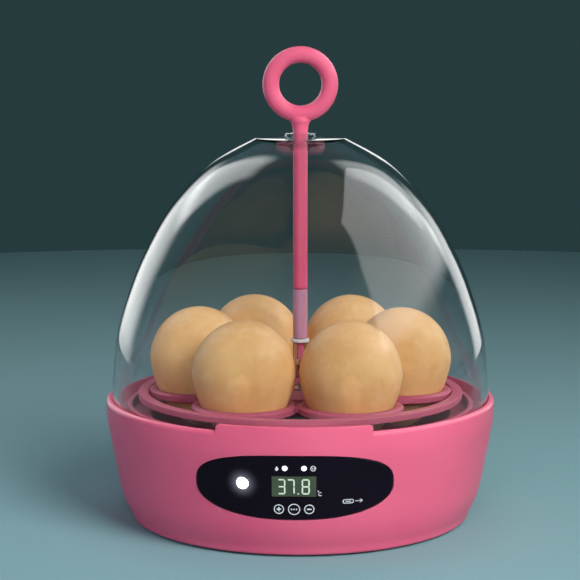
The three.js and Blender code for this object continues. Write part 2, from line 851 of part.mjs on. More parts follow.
// ------------------------------------------------------------------ dome, dome_bush
const domeCurve = new THREE.SplineCurve([
  new THREE.Vector2(85.8, dome.bottom),
  new THREE.Vector2(85.7, 58),
  new THREE.Vector2(85.2, 66.7),
  new THREE.Vector2(83.2, 84),
  new THREE.Vector2(78.2, 101.6),
  new THREE.Vector2(70.5, 120.6),
  new THREE.Vector2(58.3, 142),
  new THREE.Vector2(40.6, 160.8),
  new THREE.Vector2(dome.flatRadius, dome.top),
]);

function domeShell() {
  const steps = 12;
  const outside = domeCurve.getPoints(steps);
  const inside = outside.map((point, i) => {
    const along = domeCurve.getTangent(i / steps);
    return [point.x - along.y * dome.wall, point.y + along.x * dome.wall];
  });
  inside[0] = [outside[0].x - dome.wall, dome.bottom];
  inside[steps] = [dome.flatRadius - 1, dome.top - dome.wall];
  return turned([
    ...outside.map((point) => [point.x, point.y]),
    [dome.hole, dome.top],
    [dome.hole, dome.top - dome.wall - dome.bossDepth],
    [dome.bossRadius, dome.top - dome.wall - dome.bossDepth],
    [dome.bossRadius + 1, dome.top - dome.wall],
    ...inside.reverse(),
  ]);
}
piece("dome", domeShell(), look.clear);

const bossBottom = dome.top - dome.wall - dome.bossDepth;
piece(
  "dome_bush",
  turned([
    [rod.radius + GAP, bossBottom - 1.8],
    [dome.hole - GAP, bossBottom - 1.8],
    [dome.hole + 0.6, bossBottom - GAP],
    [dome.hole - GAP, bossBottom - GAP],
    [dome.hole - GAP, dome.top + GAP],
    [7, dome.top + GAP],
    [7, dome.top + 1.5],
    [6.4, dome.top + 2.1],
    [rod.radius + GAP, dome.top + 2.1],
  ], 16),
  look.clear,
);

// --------------------------------------------------- handle, rod_sleeve, rod_collar
function handle() {
  const ring = new THREE.TorusGeometry(ringHandle.major, ringHandle.tube, 8, 24)
    .rotateX(Math.PI / 2)
    .translate(0, 0, ringHandle.centre);
  const ringFoot = ringHandle.centre - ringHandle.major - ringHandle.tube;
  const shaft = turned([
    [0, rod.coreBottom],
    [rod.core, rod.coreBottom],
    [rod.core, rod.shoulder],
    [rod.radius, rod.shoulder],
    [rod.radius, ringFoot - 1.5],
    [rod.radius + 0.4, ringFoot + 1.2],
    [0, ringFoot + 1.2],
  ], 16);
  const tip = prism(hexagon(rod.tipFlats), rod.tipBottom, rod.coreBottom + 1);
  return join(ring, shaft, tip);
}
piece("handle", handle(), look.pink);

const collarTop = rod.coreBottom + 1.5;
piece(
  "rod_collar",
  tube(rod.core + GAP, 4.1, rod.coreBottom, collarTop, 16),
  look.white,
);
piece(
  "rod_sleeve",
  tube(rod.core + GAP, rod.radius, collarTop + GAP, rod.shoulder - GAP, 16),
  look.milky,
);

export default group;
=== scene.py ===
import json
import math

import bmesh
import bpy
from mathutils import Matrix, Vector


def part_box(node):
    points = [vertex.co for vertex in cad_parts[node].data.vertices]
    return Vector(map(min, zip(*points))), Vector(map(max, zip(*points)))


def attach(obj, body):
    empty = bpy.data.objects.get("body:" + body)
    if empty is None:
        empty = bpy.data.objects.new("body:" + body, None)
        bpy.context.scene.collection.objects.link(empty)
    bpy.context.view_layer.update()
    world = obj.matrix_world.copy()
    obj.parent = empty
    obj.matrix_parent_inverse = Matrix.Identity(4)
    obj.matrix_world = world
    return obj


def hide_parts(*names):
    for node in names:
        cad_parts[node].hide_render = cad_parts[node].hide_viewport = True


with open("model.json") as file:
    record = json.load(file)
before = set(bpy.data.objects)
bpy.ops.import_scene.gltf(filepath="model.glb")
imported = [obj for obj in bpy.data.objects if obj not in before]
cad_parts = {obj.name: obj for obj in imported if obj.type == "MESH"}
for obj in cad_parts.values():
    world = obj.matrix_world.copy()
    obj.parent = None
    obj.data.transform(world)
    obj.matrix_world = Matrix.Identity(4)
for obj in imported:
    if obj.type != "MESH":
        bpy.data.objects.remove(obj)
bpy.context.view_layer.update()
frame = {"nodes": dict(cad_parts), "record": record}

MM = 0.001

# ---- places from the frame


def millimetres(node):
    """The lowest and highest corner of a CAD node, in millimetres."""
    low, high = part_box(node)
    return low / MM, high / MM


tub_low, tub_high = millimetres("base_shell")
_, liner_high = millimetres("inner_tub")
dome_low, dome_high = millimetres("dome")
bush_low, bush_high = millimetres("dome_bush")
handle_low, handle_high = millimetres("handle")
collar_low, _ = millimetres("rod_collar")
_, sleeve_high = millimetres("rod_sleeve")
rack_low, rack_high = millimetres("egg_rack")
post_low, post_high = millimetres("socket_post")
egg_low, egg_high = millimetres("egg_1")
tray_low, tray_high = millimetres("water_tray")
cowl_low, cowl_high = millimetres("fan_cowl")
sensor_low, sensor_high = millimetres("temperature_sensor")
display_low, display_high = millimetres("lcd_display")
_, hub_high = millimetres("turn_hub")
socket_low, socket_high = millimetres("usb_c_socket")

# ---- outlines

FILLET_SHARE = 0.48


def rounded(corners, closed=True, steps=5):
    """Corners (x, z) or (x, z, fillet) as a smooth outline; a fillet takes FILLET_SHARE of a side at most."""
    outline = []
    for i, corner in enumerate(corners):
        here = Vector(corner[:2])
        fillet = corner[2] if len(corner) > 2 else 0
        if fillet == 0 or (not closed and i in (0, len(corners) - 1)):
            outline.append(here)
            continue
        back = Vector(corners[i - 1][:2]) - here
        on = Vector(corners[(i + 1) % len(corners)][:2]) - here
        reach = fillet / math.tan(back.angle(on) / 2)
        reach = min(reach, FILLET_SHARE * back.length, FILLET_SHARE * on.length)
        start = here + back.normalized() * reach
        end = here + on.normalized() * reach
        for k in range(steps + 1):
            t = k / steps
            outline.append(start * (1 - t) ** 2 + here * 2 * t * (1 - t) + end * t**2)
    return outline


def full_turn(count):
    return [2 * math.pi * i / count for i in range(count)]


def polar(centre, radius, angle):
    return Vector((centre[0] + radius * math.cos(angle), centre[1] + radius * math.sin(angle)))


def circle(radius, count, centre=(0, 0)):
    return [polar(centre, radius, a) for a in full_turn(count)]


def rectangle(width, height, fillet, centre=(0, 0)):
    x, z = width / 2, height / 2
    corners = [(-x, -z), (x, -z), (x, z), (-x, z)]
    return rounded([(centre[0] + a, centre[1] + b, fillet) for a, b in corners])


def inset(outline, distance):
    """The outline moved inwards along its normals; a counterclockwise outline is expected."""
    moved = []
    for i, point in enumerate(outline):
        along = outline[(i + 1) % len(outline)] - outline[i - 1]
        normal = Vector((-along.y, along.x)).normalized()
        moved.append(point + normal * distance)
    return moved


# ---- mesh making

WELD_METRES = 1e-7


def sharpen(mesh, degrees=35):
    """Smooth shading that keeps the edges sharper than that angle."""
    bm = bmesh.new()
    bm.from_mesh(mesh)
    bmesh.ops.remove_doubles(bm, verts=bm.verts, dist=WELD_METRES)
    bmesh.ops.recalc_face_normals(bm, faces=bm.faces)
    for face in bm.faces:
        face.smooth = True
    for edge in bm.edges:
        edge.smooth = len(edge.link_faces) == 2 and edge.calc_face_angle() < math.radians(degrees)
    bm.to_mesh(mesh)
    bm.free()


def add(name, data):
    """A new object in the scene."""
    thing = bpy.data.objects.new(name, data)
    bpy.context.scene.collection.objects.link(thing)
    return thing


def make(name, bm, place=None):
    """A new object from a bmesh in millimetres, placed by a matrix in millimetres."""
    if place is not None:
        bmesh.ops.transform(bm, matrix=place, verts=bm.verts)
    bmesh.ops.scale(bm, vec=(MM, MM, MM), verts=bm.verts)
    mesh = bpy.data.meshes.new(name)
    bm.to_mesh(mesh)
    bm.free()
    sharpen(mesh)
    return add(name, mesh)


def sides(count, flipped=False):
    """The two corner numbers at the ends of each side of a loop."""
    pairs = [(i, (i + 1) % count) for i in range(count)]
    return [(b, a) for a, b in pairs] if flipped else pairs


def belt(bm, lower, upper, flipped=False):
    """Faces all the way round between two loops with the same number of corners."""
    for a, b in sides(len(lower), flipped):
        bm.faces.new([lower[a], lower[b], upper[b], upper[a]])


def turned(name, outline_at, angles, closed=True, place=None):
    """A body turned about Z whose (radius, height) outline may change with the angle."""
    bm = bmesh.new()
    rings = []
    columns = [outline_at(a) for a in angles]
    for row in zip(*columns):
        if row[0][0] < 1e-6:
            rings.append([bm.verts.new((0, 0, row[0][1]))])
            continue
        ring = [(r * math.cos(a), r * math.sin(a), z) for a, (r, z) in zip(angles, row)]
        rings.append([bm.verts.new(corner) for corner in ring])
    pairs = list(zip(rings, rings[1:])) + ([(rings[-1], rings[0])] if closed else [])
    for lower, upper in pairs:
        if len(lower) == len(upper) == 1:
            continue
        for i, j in sides(len(angles)):
            corners = [lower[i % len(lower)], lower[j % len(lower)]]
            corners += [upper[j % len(upper)], upper[i % len(upper)]]
            bm.faces.new(list(dict.fromkeys(corners)))
    return make(name, bm, place)


def lathe(name, outline, segments, closed=True, place=None):
    """A body of revolution about Z from (radius, height) points; points on the axis close it."""
    return turned(name, lambda a: outline, full_turn(segments), closed, place)


def prism(name, outline, low, high, place=None):
    """The outline in X and Y, raised from low to high."""
    bm = bmesh.new()
    bottom = [bm.verts.new((p.x, p.y, low)) for p in outline]
    top = [bm.verts.new((p.x, p.y, high)) for p in outline]
    bm.faces.new(bottom)
    bm.faces.new(top)
    belt(bm, bottom, top)
    return make(name, bm, place)


def apply(piece):
    """Makes the piece's modifiers part of its mesh."""
    bpy.context.view_layer.update()
    graph = bpy.context.evaluated_depsgraph_get()
    mesh = bpy.data.meshes.new_from_object(piece.evaluated_get(graph))
    piece.modifiers.clear()
    piece.data = mesh


def combine(piece, others, operation):
    for other in others:
        modifier = piece.modifiers.new(operation, "BOOLEAN")
        modifier.operation = operation
        modifier.solver = "EXACT"
        modifier.object = other
        apply(piece)
        bpy.data.objects.remove(other)
    sharpen(piece.data)


def cut(piece, *others):
    combine(piece, others, "DIFFERENCE")


def join(piece, *others):
    combine(piece, others, "UNION")


def bevel(piece, width):
    modifier = piece.modifiers.new("bevel", "BEVEL")
    modifier.width = width * MM
    modifier.segments = 2
    modifier.limit_method = "ANGLE"
    modifier.angle_limit = math.radians(40)
    modifier.use_clamp_overlap = True
    apply(piece)
    sharpen(piece.data)


def merge(name, pieces):
    """Several separate solids as one object."""
    bm = bmesh.new()
    for piece in pieces:
        bm.from_mesh(piece.data)
        bpy.data.objects.remove(piece)
    bmesh.ops.scale(bm, vec=(1 / MM, 1 / MM, 1 / MM), verts=bm.verts)
    return make(name, bm)


# ---- the tub's outer wall

WALL_START = tub_low.z + 2
FOOT_RADIUS = 77.2
KNEE, KNEE_RADIUS, TAPER = 18.0, 83.0, 0.185
SHOULDER, SHOULDER_TOP = 44.0, 50.0
KNEE_RISE = KNEE - WALL_START
FOOT_CURVE = (KNEE_RADIUS - TAPER * KNEE_RISE - FOOT_RADIUS) / KNEE_RISE**2
SHOULDER_CURVE = TAPER / (2 * (SHOULDER_TOP - SHOULDER))
PANEL_PROUD = 0.36
EDGE_STEPS = 5


def wall_radius(height):
    """The wall swells from the foot to the knee, leans out, and is upright above the shoulder."""
    z = min(height, SHOULDER_TOP)
    below, above = max(0.0, KNEE - z), max(0.0, z - SHOULDER)
    return KNEE_RADIUS + TAPER * (z - KNEE) - FOOT_CURVE * below**2 - SHOULDER_CURVE * above**2


def wall_slope(height):
    z = min(height, SHOULDER_TOP)
    below, above = max(0.0, KNEE - z), max(0.0, z - SHOULDER)
    return TAPER + 2 * FOOT_CURVE * below - 2 * SHOULDER_CURVE * above


def on_wall(x, z, offset):
    """The point at (x, z) on the front wall, moved out by offset."""
    radius = wall_radius(z) + offset
    return Vector((x, -math.sqrt(radius**2 - x**2), z))


def wall_frame(x, z, offset=PANEL_PROUD):
    """A matrix whose +Z points straight out of the front wall, +X to the right and +Y up."""
    point = on_wall(x, z, offset)
    out = Vector((point.x, point.y, 0)).normalized()
    out = Vector((out.x, out.y, -wall_slope(z))).normalized()
    right = Vector((0, 0, 1)).cross(out).normalized()
    axes = Matrix((right, out.cross(right), out)).transposed()
    return Matrix.Translation(point) @ axes.to_4x4()


def wall_slab(name, outline, back, front, edge=0.0, rings=8):
    """A slab that follows the wall between two offsets, with its front edge rounded by edge."""
    centre = sum(outline, Vector((0, 0))) / len(outline)
    bm = bmesh.new()

    def inwards(points):
        return [[p.lerp(centre, k / rings) for p in points] for k in range(1, rings)]

    def row(points, offset):
        return [bm.verts.new(on_wall(p.x, p.y, offset)) for p in points]

    def skin(rows, offset, flipped):
        for lower, upper in zip(rows, rows[1:]):
            belt(bm, lower, upper, flipped)
        tip = bm.verts.new(on_wall(centre.x, centre.y, offset))
        for a, b in sides(len(outline), flipped):
            bm.faces.new([rows[-1][a], rows[-1][b], tip])

    layers = [(outline, back)]
    if edge > 0:
        for k in range(EDGE_STEPS + 1):
            a = math.pi / 2 * k / EDGE_STEPS
            layers.append((inset(outline, edge * (1 - math.cos(a))), front - edge * (1 - math.sin(a))))
    else:
        layers.append((outline, front))
    layers += [(points, front) for points in inwards(layers[-1][0])]
    front_rows = [row(points, offset) for points, offset in layers]
    skin(front_rows, front, False)
    skin([front_rows[0]] + [row(points, back) for points in inwards(outline)], back, True)
    return make(name, bm)


def drilled(radius, low, high, segments, x, z):
    """A cutter for a round hole through the wall at (x, z)."""
    outline = [(0, low), (radius, low), (radius, high), (0, high)]
    return lathe("hole", outline, segments, place=wall_frame(x, z))


# ---- materials


class Shader:
    """A material with one Principled shader, and short ways to add nodes to it."""

    def __init__(self, name, **constants):
        self.material = bpy.data.materials.new(name)
        self.material.use_nodes = True
        self.tree = self.material.node_tree
        self.principled = self.tree.nodes["Principled BSDF"]
        for socket, value in constants.items():
            self.principled.inputs[socket.replace("_", " ")].default_value = value
        coordinates = self.tree.nodes.new("ShaderNodeTexCoord")
        self.place = coordinates.outputs["Object"]

    def node(self, kind, inputs=None, **settings):
        node = self.tree.nodes.new("ShaderNode" + kind)
        for key, value in settings.items():
            setattr(node, key, value)
        for key, value in (inputs or {}).items():
            if isinstance(value, bpy.types.NodeSocket):
                self.tree.links.new(value, node.inputs[key])
            else:
                node.inputs[key].default_value = value
        return node

    def noise(self, scale, detail=3.0, roughness=0.55, place=None):
        inputs = {"Vector": place or self.place, "Scale": scale, "Detail": detail, "Roughness": roughness}
        return self.node("TexNoise", inputs).outputs["Fac"]

    def spread(self, value, low, high, to_low=0.0, to_high=1.0):
        inputs = {"Value": value, "From Min": low, "From Max": high, "To Min": to_low, "To Max": to_high}
        return self.node("MapRange", inputs).outputs["Result"]

    def math(self, operation, a, b=0.0):
        return self.node("Math", {0: a, 1: b}, operation=operation).outputs[0]

    def mix(self, share, a, b):
        """A colour mix; sockets 6 and 7, and output 2, are the ones for colours."""
        return self.node("Mix", {0: share, 6: a, 7: b}, data_type="RGBA").outputs[2]

    def bump(self, height, strength, distance, normal=None):
        inputs = {"Height": height, "Strength": strength, "Distance": distance}
        if normal is not None:
            inputs["Normal"] = normal
        return self.node("Bump", inputs).outputs["Normal"]

    def set(self, **sockets):
        for socket, value in sockets.items():
            self.tree.links.new(value, self.principled.inputs[socket.replace("_", " ")])
        return self.material

    def clear_to_lamps(self, tint):
        """Lets lamp rays straight through, so that what is inside the clear wall is lit."""
        path = self.node("LightPath")
        through = self.node("BsdfTransparent", {"Color": tint})
        mixed = self.node("MixShader", {0: path.outputs["Is Shadow Ray"]})
        self.tree.links.new(self.principled.outputs[0], mixed.inputs[1])
        self.tree.links.new(through.outputs[0], mixed.inputs[2])
        output = self.tree.nodes["Material Output"]
        self.tree.links.new(mixed.outputs[0], output.inputs["Surface"])
        return self.material


def moulded(name, colour, deeper, roughness, grain=0.05, **constants):
    """Injection-moulded plastic: cloudy pigment, fine texture and a little wear on the edges."""
    s = Shader(name, **{"Specular_IOR_Level": 0.4, "IOR": 1.47, **constants})
    cloud = s.spread(s.noise(14, 4), 0.35, 0.65)
    pigment = s.mix(cloud, (*deeper, 1), (*colour, 1))
    geometry = s.node("NewGeometry")
    worn = s.spread(geometry.outputs["Pointiness"], 0.53, 0.62, 0, 0.25)
    whitening = 0.25
    paler = tuple(min(1, c * (1 - whitening) + whitening) for c in colour)
    smear = s.spread(s.noise(55, 5, 0.6), 0.4, 0.7, roughness - 0.05, roughness + 0.07)
    skin = s.bump(s.noise(260, 2), 0.25, grain * MM)
    peel = s.bump(s.noise(2600, 2), 0.2, 0.3 * grain * MM, skin)
    return s.set(Base_Color=s.mix(worn, pigment, (*paler, 1)), Roughness=smear, Normal=peel)


def clear_plastic(tint, shade):
    """Polished clear plastic with faint haze in patches; shade is what a lamp's ray keeps."""
    s = Shader("clear_plastic", Base_Color=(*tint, 1), IOR=1.42, Transmission_Weight=1.0)
    haze = s.spread(s.noise(18, 5, 0.6), 0.45, 0.75, 0, 0.03)
    ripple = s.bump(s.noise(22, 1), 0.12, 0.6 * MM)
    s.set(Roughness=haze, Normal=ripple)
    return s.clear_to_lamps((*shade, 1))


def egg_shell():
    """Brown hen's egg: warm mottling, darker freckles and open pores."""
    s = Shader("egg_shell", Subsurface_Weight=0.12, Subsurface_Scale=0.004, Specular_IOR_Level=0.2)
    s.principled.inputs["Subsurface Radius"].default_value = (1.0, 0.5, 0.25)
    mottle = s.spread(s.noise(32, 5, 0.6), 0.36, 0.66)
    base = s.mix(mottle, (0.7, 0.38, 0.15, 1), (0.83, 0.505, 0.225, 1))
    fine = s.spread(s.noise(420, 3, 0.6), 0.62, 0.75, 0, 0.35)
    freckled = s.mix(fine, base, (0.5, 0.23, 0.085, 1))
    bloom = s.spread(s.noise(150, 3), 0.5, 0.8, 0, 0.25)
    dusty = s.mix(bloom, freckled, (0.95, 0.72, 0.46, 1))
    cells = s.node("TexVoronoi", {"Vector": s.place, "Scale": 1100.0})
    pores = s.spread(cells.outputs["Distance"], 0.0, 0.32)
    dimples = s.bump(pores, 0.35, 0.06 * MM)
    chalk = s.bump(s.noise(190, 3), 0.3, 0.12 * MM, dimples)
    rough = s.spread(s.noise(60, 3), 0.35, 0.7, 0.42, 0.58)
    return s.set(Base_Color=dusty, Roughness=rough, Normal=chalk)


def panel_gloss(lamp_place):
    """Piano-black panel with smears, and the lamp's glow in the plastic round it."""
    s = Shader("black_gloss_panel", Specular_IOR_Level=0.08, Coat_Weight=0.04, Coat_Roughness=0.04, IOR=1.45)
    streaks = s.spread(s.noise(70, 5, 0.65), 0.45, 0.8, 0.05, 0.16)
    depth = s.mix(s.noise(30), (0.003, 0.002, 0.005, 1), (0.009, 0.005, 0.012, 1))
    apart = s.node("VectorMath", {0: s.place, 1: lamp_place}, operation="DISTANCE")
    glow_outer, glow_inner, glow_power = 8.5 * MM, 2.5 * MM, 0.2
    near = s.spread(apart.outputs["Value"], glow_outer, glow_inner)
    glow = s.math("MULTIPLY", s.math("POWER", near, 3.0), glow_power)
    s.principled.inputs["Emission Color"].default_value = (0.75, 0.8, 1.0, 1)
    return s.set(Base_Color=depth, Roughness=streaks, Emission_Strength=glow)


def lit(name, colour, strength):
    """A lit lens or printed mark, a little brighter in some spots than others."""
    s = Shader(name, Base_Color=(*colour, 1), Emission_Color=(*colour, 1), IOR=1.5)
    flicker = s.spread(s.noise(500, 2), 0.3, 0.7, 0.9 * strength, 1.1 * strength)
    rough = s.spread(s.noise(120), 0.3, 0.7, 0.12, 0.22)
    return s.set(Emission_Strength=flicker, Roughness=rough)


def printed_ink():
    s = Shader("panel_ink", IOR=1.45)
    worn = s.mix(s.spread(s.noise(900, 3), 0.35, 0.7), (0.5, 0.5, 0.54, 1), (0.86, 0.86, 0.9, 1))
    # The ink also glows faintly: painted light that keeps the pale marks bright.
    s.principled.inputs["Emission Color"].default_value = (0.8, 0.82, 0.9, 1)
    s.principled.inputs["Emission Strength"].default_value = 0.12
    return s.set(Base_Color=worn, Roughness=s.spread(s.noise(300), 0.3, 0.7, 0.4, 0.6))


def lcd_glass():
    """Backlit display: grey-green, with a fine pixel screen and an uneven backlight."""
    s = Shader("lcd_glass", Coat_Weight=0.5, Coat_Roughness=0.05, IOR=1.5)
    cloud = s.spread(s.noise(120, 2), 0.3, 0.7)
    green = s.mix(cloud, (0.035, 0.049, 0.026, 1), (0.051, 0.066, 0.035, 1))
    wave = s.node("TexWave", {"Vector": s.place, "Scale": 420.0}, bands_direction="Z")
    lines = s.spread(wave.outputs["Fac"], 0.0, 1.0, 0.15, 0.26)
    s.tree.links.new(green, s.principled.inputs["Emission Color"])
    rough = s.spread(s.noise(200), 0.3, 0.7, 0.12, 0.2)
    return s.set(Base_Color=green, Emission_Strength=lines, Roughness=rough)


def metal(name, colour, roughness):
    s = Shader(name, Metallic=1.0)
    brushed = s.node("Mapping", {"Vector": s.place, "Scale": (1.0, 1.0, 12.0)})
    grain = s.noise(700, 4, 0.7, brushed.outputs[0])
    tone = s.mix(s.noise(90), (*(c * 0.8 for c in colour), 1), (*colour, 1))
    rough = s.spread(grain, 0.3, 0.7, roughness - 0.08, roughness + 0.1)
    return s.set(Base_Color=tone, Roughness=rough, Normal=s.bump(grain, 0.15, 0.02 * MM))


def rubber():
    s = Shader("black_rubber", IOR=1.45)
    tone = s.mix(s.noise(120, 4), (0.018, 0.018, 0.02, 1), (0.045, 0.044, 0.046, 1))
    skin = s.bump(s.noise(1500, 3), 0.5, 0.05 * MM)
    return s.set(Base_Color=tone, Roughness=s.spread(s.noise(80), 0.3, 0.7, 0.65, 0.85), Normal=skin)


def circuit_board():
    """Green solder mask over faint copper tracks."""
    s = Shader("circuit_board", IOR=1.5, Coat_Weight=0.3)
    black, white = (0, 0, 0, 1), (1, 1, 1, 1)
    bricks = s.node("TexBrick", {
        "Vector": s.place, "Scale": 260.0, "Mortar Size": 0.03,
        "Color1": black, "Color2": black, "Mortar": white,
    })
    green = s.mix(s.noise(60), (0.008, 0.07, 0.028, 1), (0.014, 0.11, 0.045, 1))
    tracks = s.mix(bricks.outputs["Color"], green, (0.05, 0.22, 0.08, 1))
    return s.set(Base_Color=tracks, Roughness=s.spread(s.noise(200), 0.3, 0.7, 0.3, 0.45))


LAMP = (-21.6, 33.8)
LAMP_RADIUS = 2.55

MOULDED = {
    "pink_plastic": ((0.76, 0.134, 0.238), (0.7, 0.105, 0.21), 0.36),
    # Darker copy of the pink plastic: painted shade for the tub's liner and the water tray, which lie in
    # shade inside the dome.
    "pink_in_painted_shade": ((0.45, 0.08, 0.14), (0.4, 0.065, 0.12), 0.5),
    # Darker copy of the pink plastic: painted shade for the egg rack inside the dome.
    "rack_pink_painted_shade": ((0.53, 0.115, 0.185), (0.47, 0.095, 0.165), 0.42),
    "deep_pink_plastic": ((0.72, 0.1, 0.2), (0.62, 0.075, 0.17), 0.42),
    "white_plastic": ((0.83, 0.82, 0.84), (0.76, 0.75, 0.78), 0.4),
    "dark_plastic": ((0.03, 0.03, 0.034), (0.018, 0.018, 0.021), 0.5),
    "milky_sleeve": ((0.6, 0.3, 0.41), (0.5, 0.24, 0.35), 0.3),
    "heater_silicone": ((0.6, 0.09, 0.04), (0.5, 0.06, 0.03), 0.55),
}
EXTRAS = {
    "pink_plastic": {"Specular_IOR_Level": 0.22, "Subsurface_Weight": 0.06, "Subsurface_Scale": 0.002},
    "pink_in_painted_shade": {"Specular_IOR_Level": 0.15},
    "rack_pink_painted_shade": {"Specular_IOR_Level": 0.2},
    "milky_sleeve": {"Subsurface_Weight": 0.5, "Subsurface_Scale": 0.003},
}
LIT = {
    "lit_lens": ((0.95, 0.97, 1.0), 6.0),
    "display_digits": ((0.58, 0.68, 0.54), 0.26),
    "indicator_light": ((0.92, 0.9, 1.0), 0.9),
}
LOOKS = {name: moulded(name, *values, **EXTRAS.get(name, {})) for name, values in MOULDED.items()}
LOOKS.update({name: lit(name, *values) for name, values in LIT.items()})
LOOKS.update({
    "clear_plastic": clear_plastic((0.93, 0.95, 0.955), (0.925, 0.93, 0.93)),
    "black_gloss_panel": panel_gloss(on_wall(*LAMP, PANEL_PROUD) * MM),
    "lcd_glass": lcd_glass(),
    "panel_ink": printed_ink(),
    "egg_shell": egg_shell(),
    "steel": metal("steel", (0.62, 0.62, 0.64), 0.28),
    "black_rubber": rubber(),
    "circuit_board": circuit_board(),
})


def dress(piece, body, slot, nodes=(), look=None):
    """Gives a new piece its material (its look, or else its slot's), its body, and hides the CAD nodes it
    stands for.
    """
    piece.data.materials.clear()
    piece.data.materials.append(LOOKS[look or slot])
    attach(piece, body)
    if nodes:
        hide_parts(*nodes)


# ---- base_shell, and where things sit on its front and its back

LEDGE = 46.6
LEDGE_RADIUS = 83.5
WALL = 2.4
RIM_INNER = 86.2
RIM_ROUND = 2.0
RIM_INNER_ROUND = 0.16
RIM_TOP = 55.5
TAB_HALF = 32.8
TAB_CORNER = 1.2
TAB_EDGE = 0.3
COVER_RADIUS = 73.0
COVER_TOP = 3.8
RIB_THICKNESS = 1.4
FRONT = -math.pi / 2
CLEARANCE = 0.3

DISPLAY_MIDDLE = 33.0
KEY_ROW = 23.1
KEYS = {"key_plus": (-6.3, 2.35), "key_set": (0.0, 2.75), "key_minus": (6.3, 2.35)}
INDICATORS = {"indicator_1": -3.8, "indicator_2": 4.2}
INDICATOR_ROW = 41.1
INDICATOR_RADIUS = 1.15
PANEL_HALF_WIDTH = 41.3
PANEL_RISE, PANEL_RISE_POWER = 13.3, 2.8
PANEL_FALL, PANEL_FALL_POWER = 14.8, 2.4

INLET_HEIGHT = 12.9
INLET_OPENING = (8.2, 2.6)
INLET_SHELL = (9.0, 3.4)
FACING_BACK = Matrix.Rotation(math.pi / 2, 4, "X")


def panel_outline(grow=0.0, count=120):
    """A flattened oval, squarer above its widest line than below it."""
    outline = []
    for a in full_turn(count):
        c, s = math.cos(a), math.sin(a)
        height, power = (PANEL_RISE, PANEL_RISE_POWER) if s > 0 else (PANEL_FALL, PANEL_FALL_POWER)
        power = 2 / power
        x = (PANEL_HALF_WIDTH + grow) * math.copysign(abs(c) ** power, c)
        z = DISPLAY_MIDDLE + (height + grow) * math.copysign(abs(s) ** power, s)
        outline.append(Vector((x, z)))
    return outline


def edge_arc(centre, radius, first, last, steps=6):
    """An arc between two angles in degrees."""
    turns = (math.radians(first + (last - first) * k / steps) for k in range(steps + 1))
    return [polar(centre, radius, a) for a in turns]


def rim_edge(top, outer_round, inner_round):
    """The top edge of the wall, from its outer face over to its inner face."""
    outer = wall_radius(SHOULDER_TOP)
    edge = edge_arc((outer - outer_round, top - outer_round), outer_round, 0, 90)
    return edge + edge_arc((RIM_INNER + inner_round, top - inner_round), inner_round, 90, 180)


def make_tub():
    rim = wall_radius(SHOULDER_TOP)
    heights = [4 + i * (RIM_TOP - RIM_ROUND - 4.2) / 24 for i in range(25)]
    wall = [Vector((wall_radius(z), z)) for z in heights]
    foot = rounded([
        (COVER_RADIUS, tub_low.z, 0.4), (wall_radius(3.4) - 0.35, tub_low.z, 2.6), wall[0],
    ])[:12]
    deepest = LEDGE - 5
    depths = [deepest - i * (deepest - COVER_TOP) / 12 for i in range(13)]
    inner = [Vector((wall_radius(z) - WALL, z)) for z in depths] + [Vector((COVER_RADIUS, COVER_TOP))]
    rib = [(RIM_INNER, LEDGE), (LEDGE_RADIUS, LEDGE), (LEDGE_RADIUS, LEDGE - RIB_THICKNESS)]
    rib = [Vector(corner) for corner in rib]
    limit = math.asin(TAB_HALF / rim)

    def outline_at(angle):
        """The rim's plain top, or the higher and flatter top of the tab at the front."""
        aside = abs((angle - FRONT + math.pi) % (2 * math.pi) - math.pi)
        run = (limit - aside) * rim
        if run < -1e-6:
            top = rim_edge(RIM_TOP, RIM_ROUND, RIM_INNER_ROUND)
        else:
            short = max(0.0, TAB_CORNER - run)
            drop = TAB_CORNER - math.sqrt(max(0.0, TAB_CORNER**2 - short**2))
            top = rim_edge(tub_high.z - drop, TAB_EDGE, TAB_EDGE)
        return foot + wall + top + rib + inner

    past_tab = limit + 1e-5
    corner = [limit - TAB_CORNER / rim * (1 - math.cos(math.pi / 16 * k)) for k in range(9)]
    tab = [past_tab] + corner + [corner[-1] * (1 - k / 20) for k in range(1, 20)]
    rest = [past_tab + k / 80 * (math.pi - limit) for k in range(1, 81)]
    half = sorted(tab + rest)
    mirrored = [1.5 * math.pi - a for a in reversed(half[:-1])]
    tub = turned("tub_shell", outline_at, [FRONT] + [FRONT + a for a in half] + mirrored)

    pocket = wall_slab("pocket", panel_outline(CLEARANCE), -1.3, 4, rings=4)
    lamp_hole = drilled(3.4, -12, 5, 32, *LAMP)
    at_inlet = (0, INLET_HEIGHT)
    recess = prism("recess", rectangle(14, 7, 1.2, at_inlet), -95, -78.1, FACING_BACK)
    bay = prism("bay", rectangle(18, 10.8, 1, at_inlet), -80.5, -75.8, FACING_BACK)
    slot = prism("slot", rectangle(9.6, 4.0, 1.9, at_inlet), -95, -60, FACING_BACK)
    join(tub, bay)
    cut(tub, pocket, lamp_hole, recess, slot)
    dress(tub, "base", "pink_plastic", ["base_shell"])


make_tub()

# ---- inner_tub

SHELF = 48.5
RING_OUTER = 79.0
RING_INNER = 76.6
RING_TOP = liner_high.z
WELL = 68.0
WELL_WALL = 2
WELL_HOLE = 16.5
FLOOR = 26.0


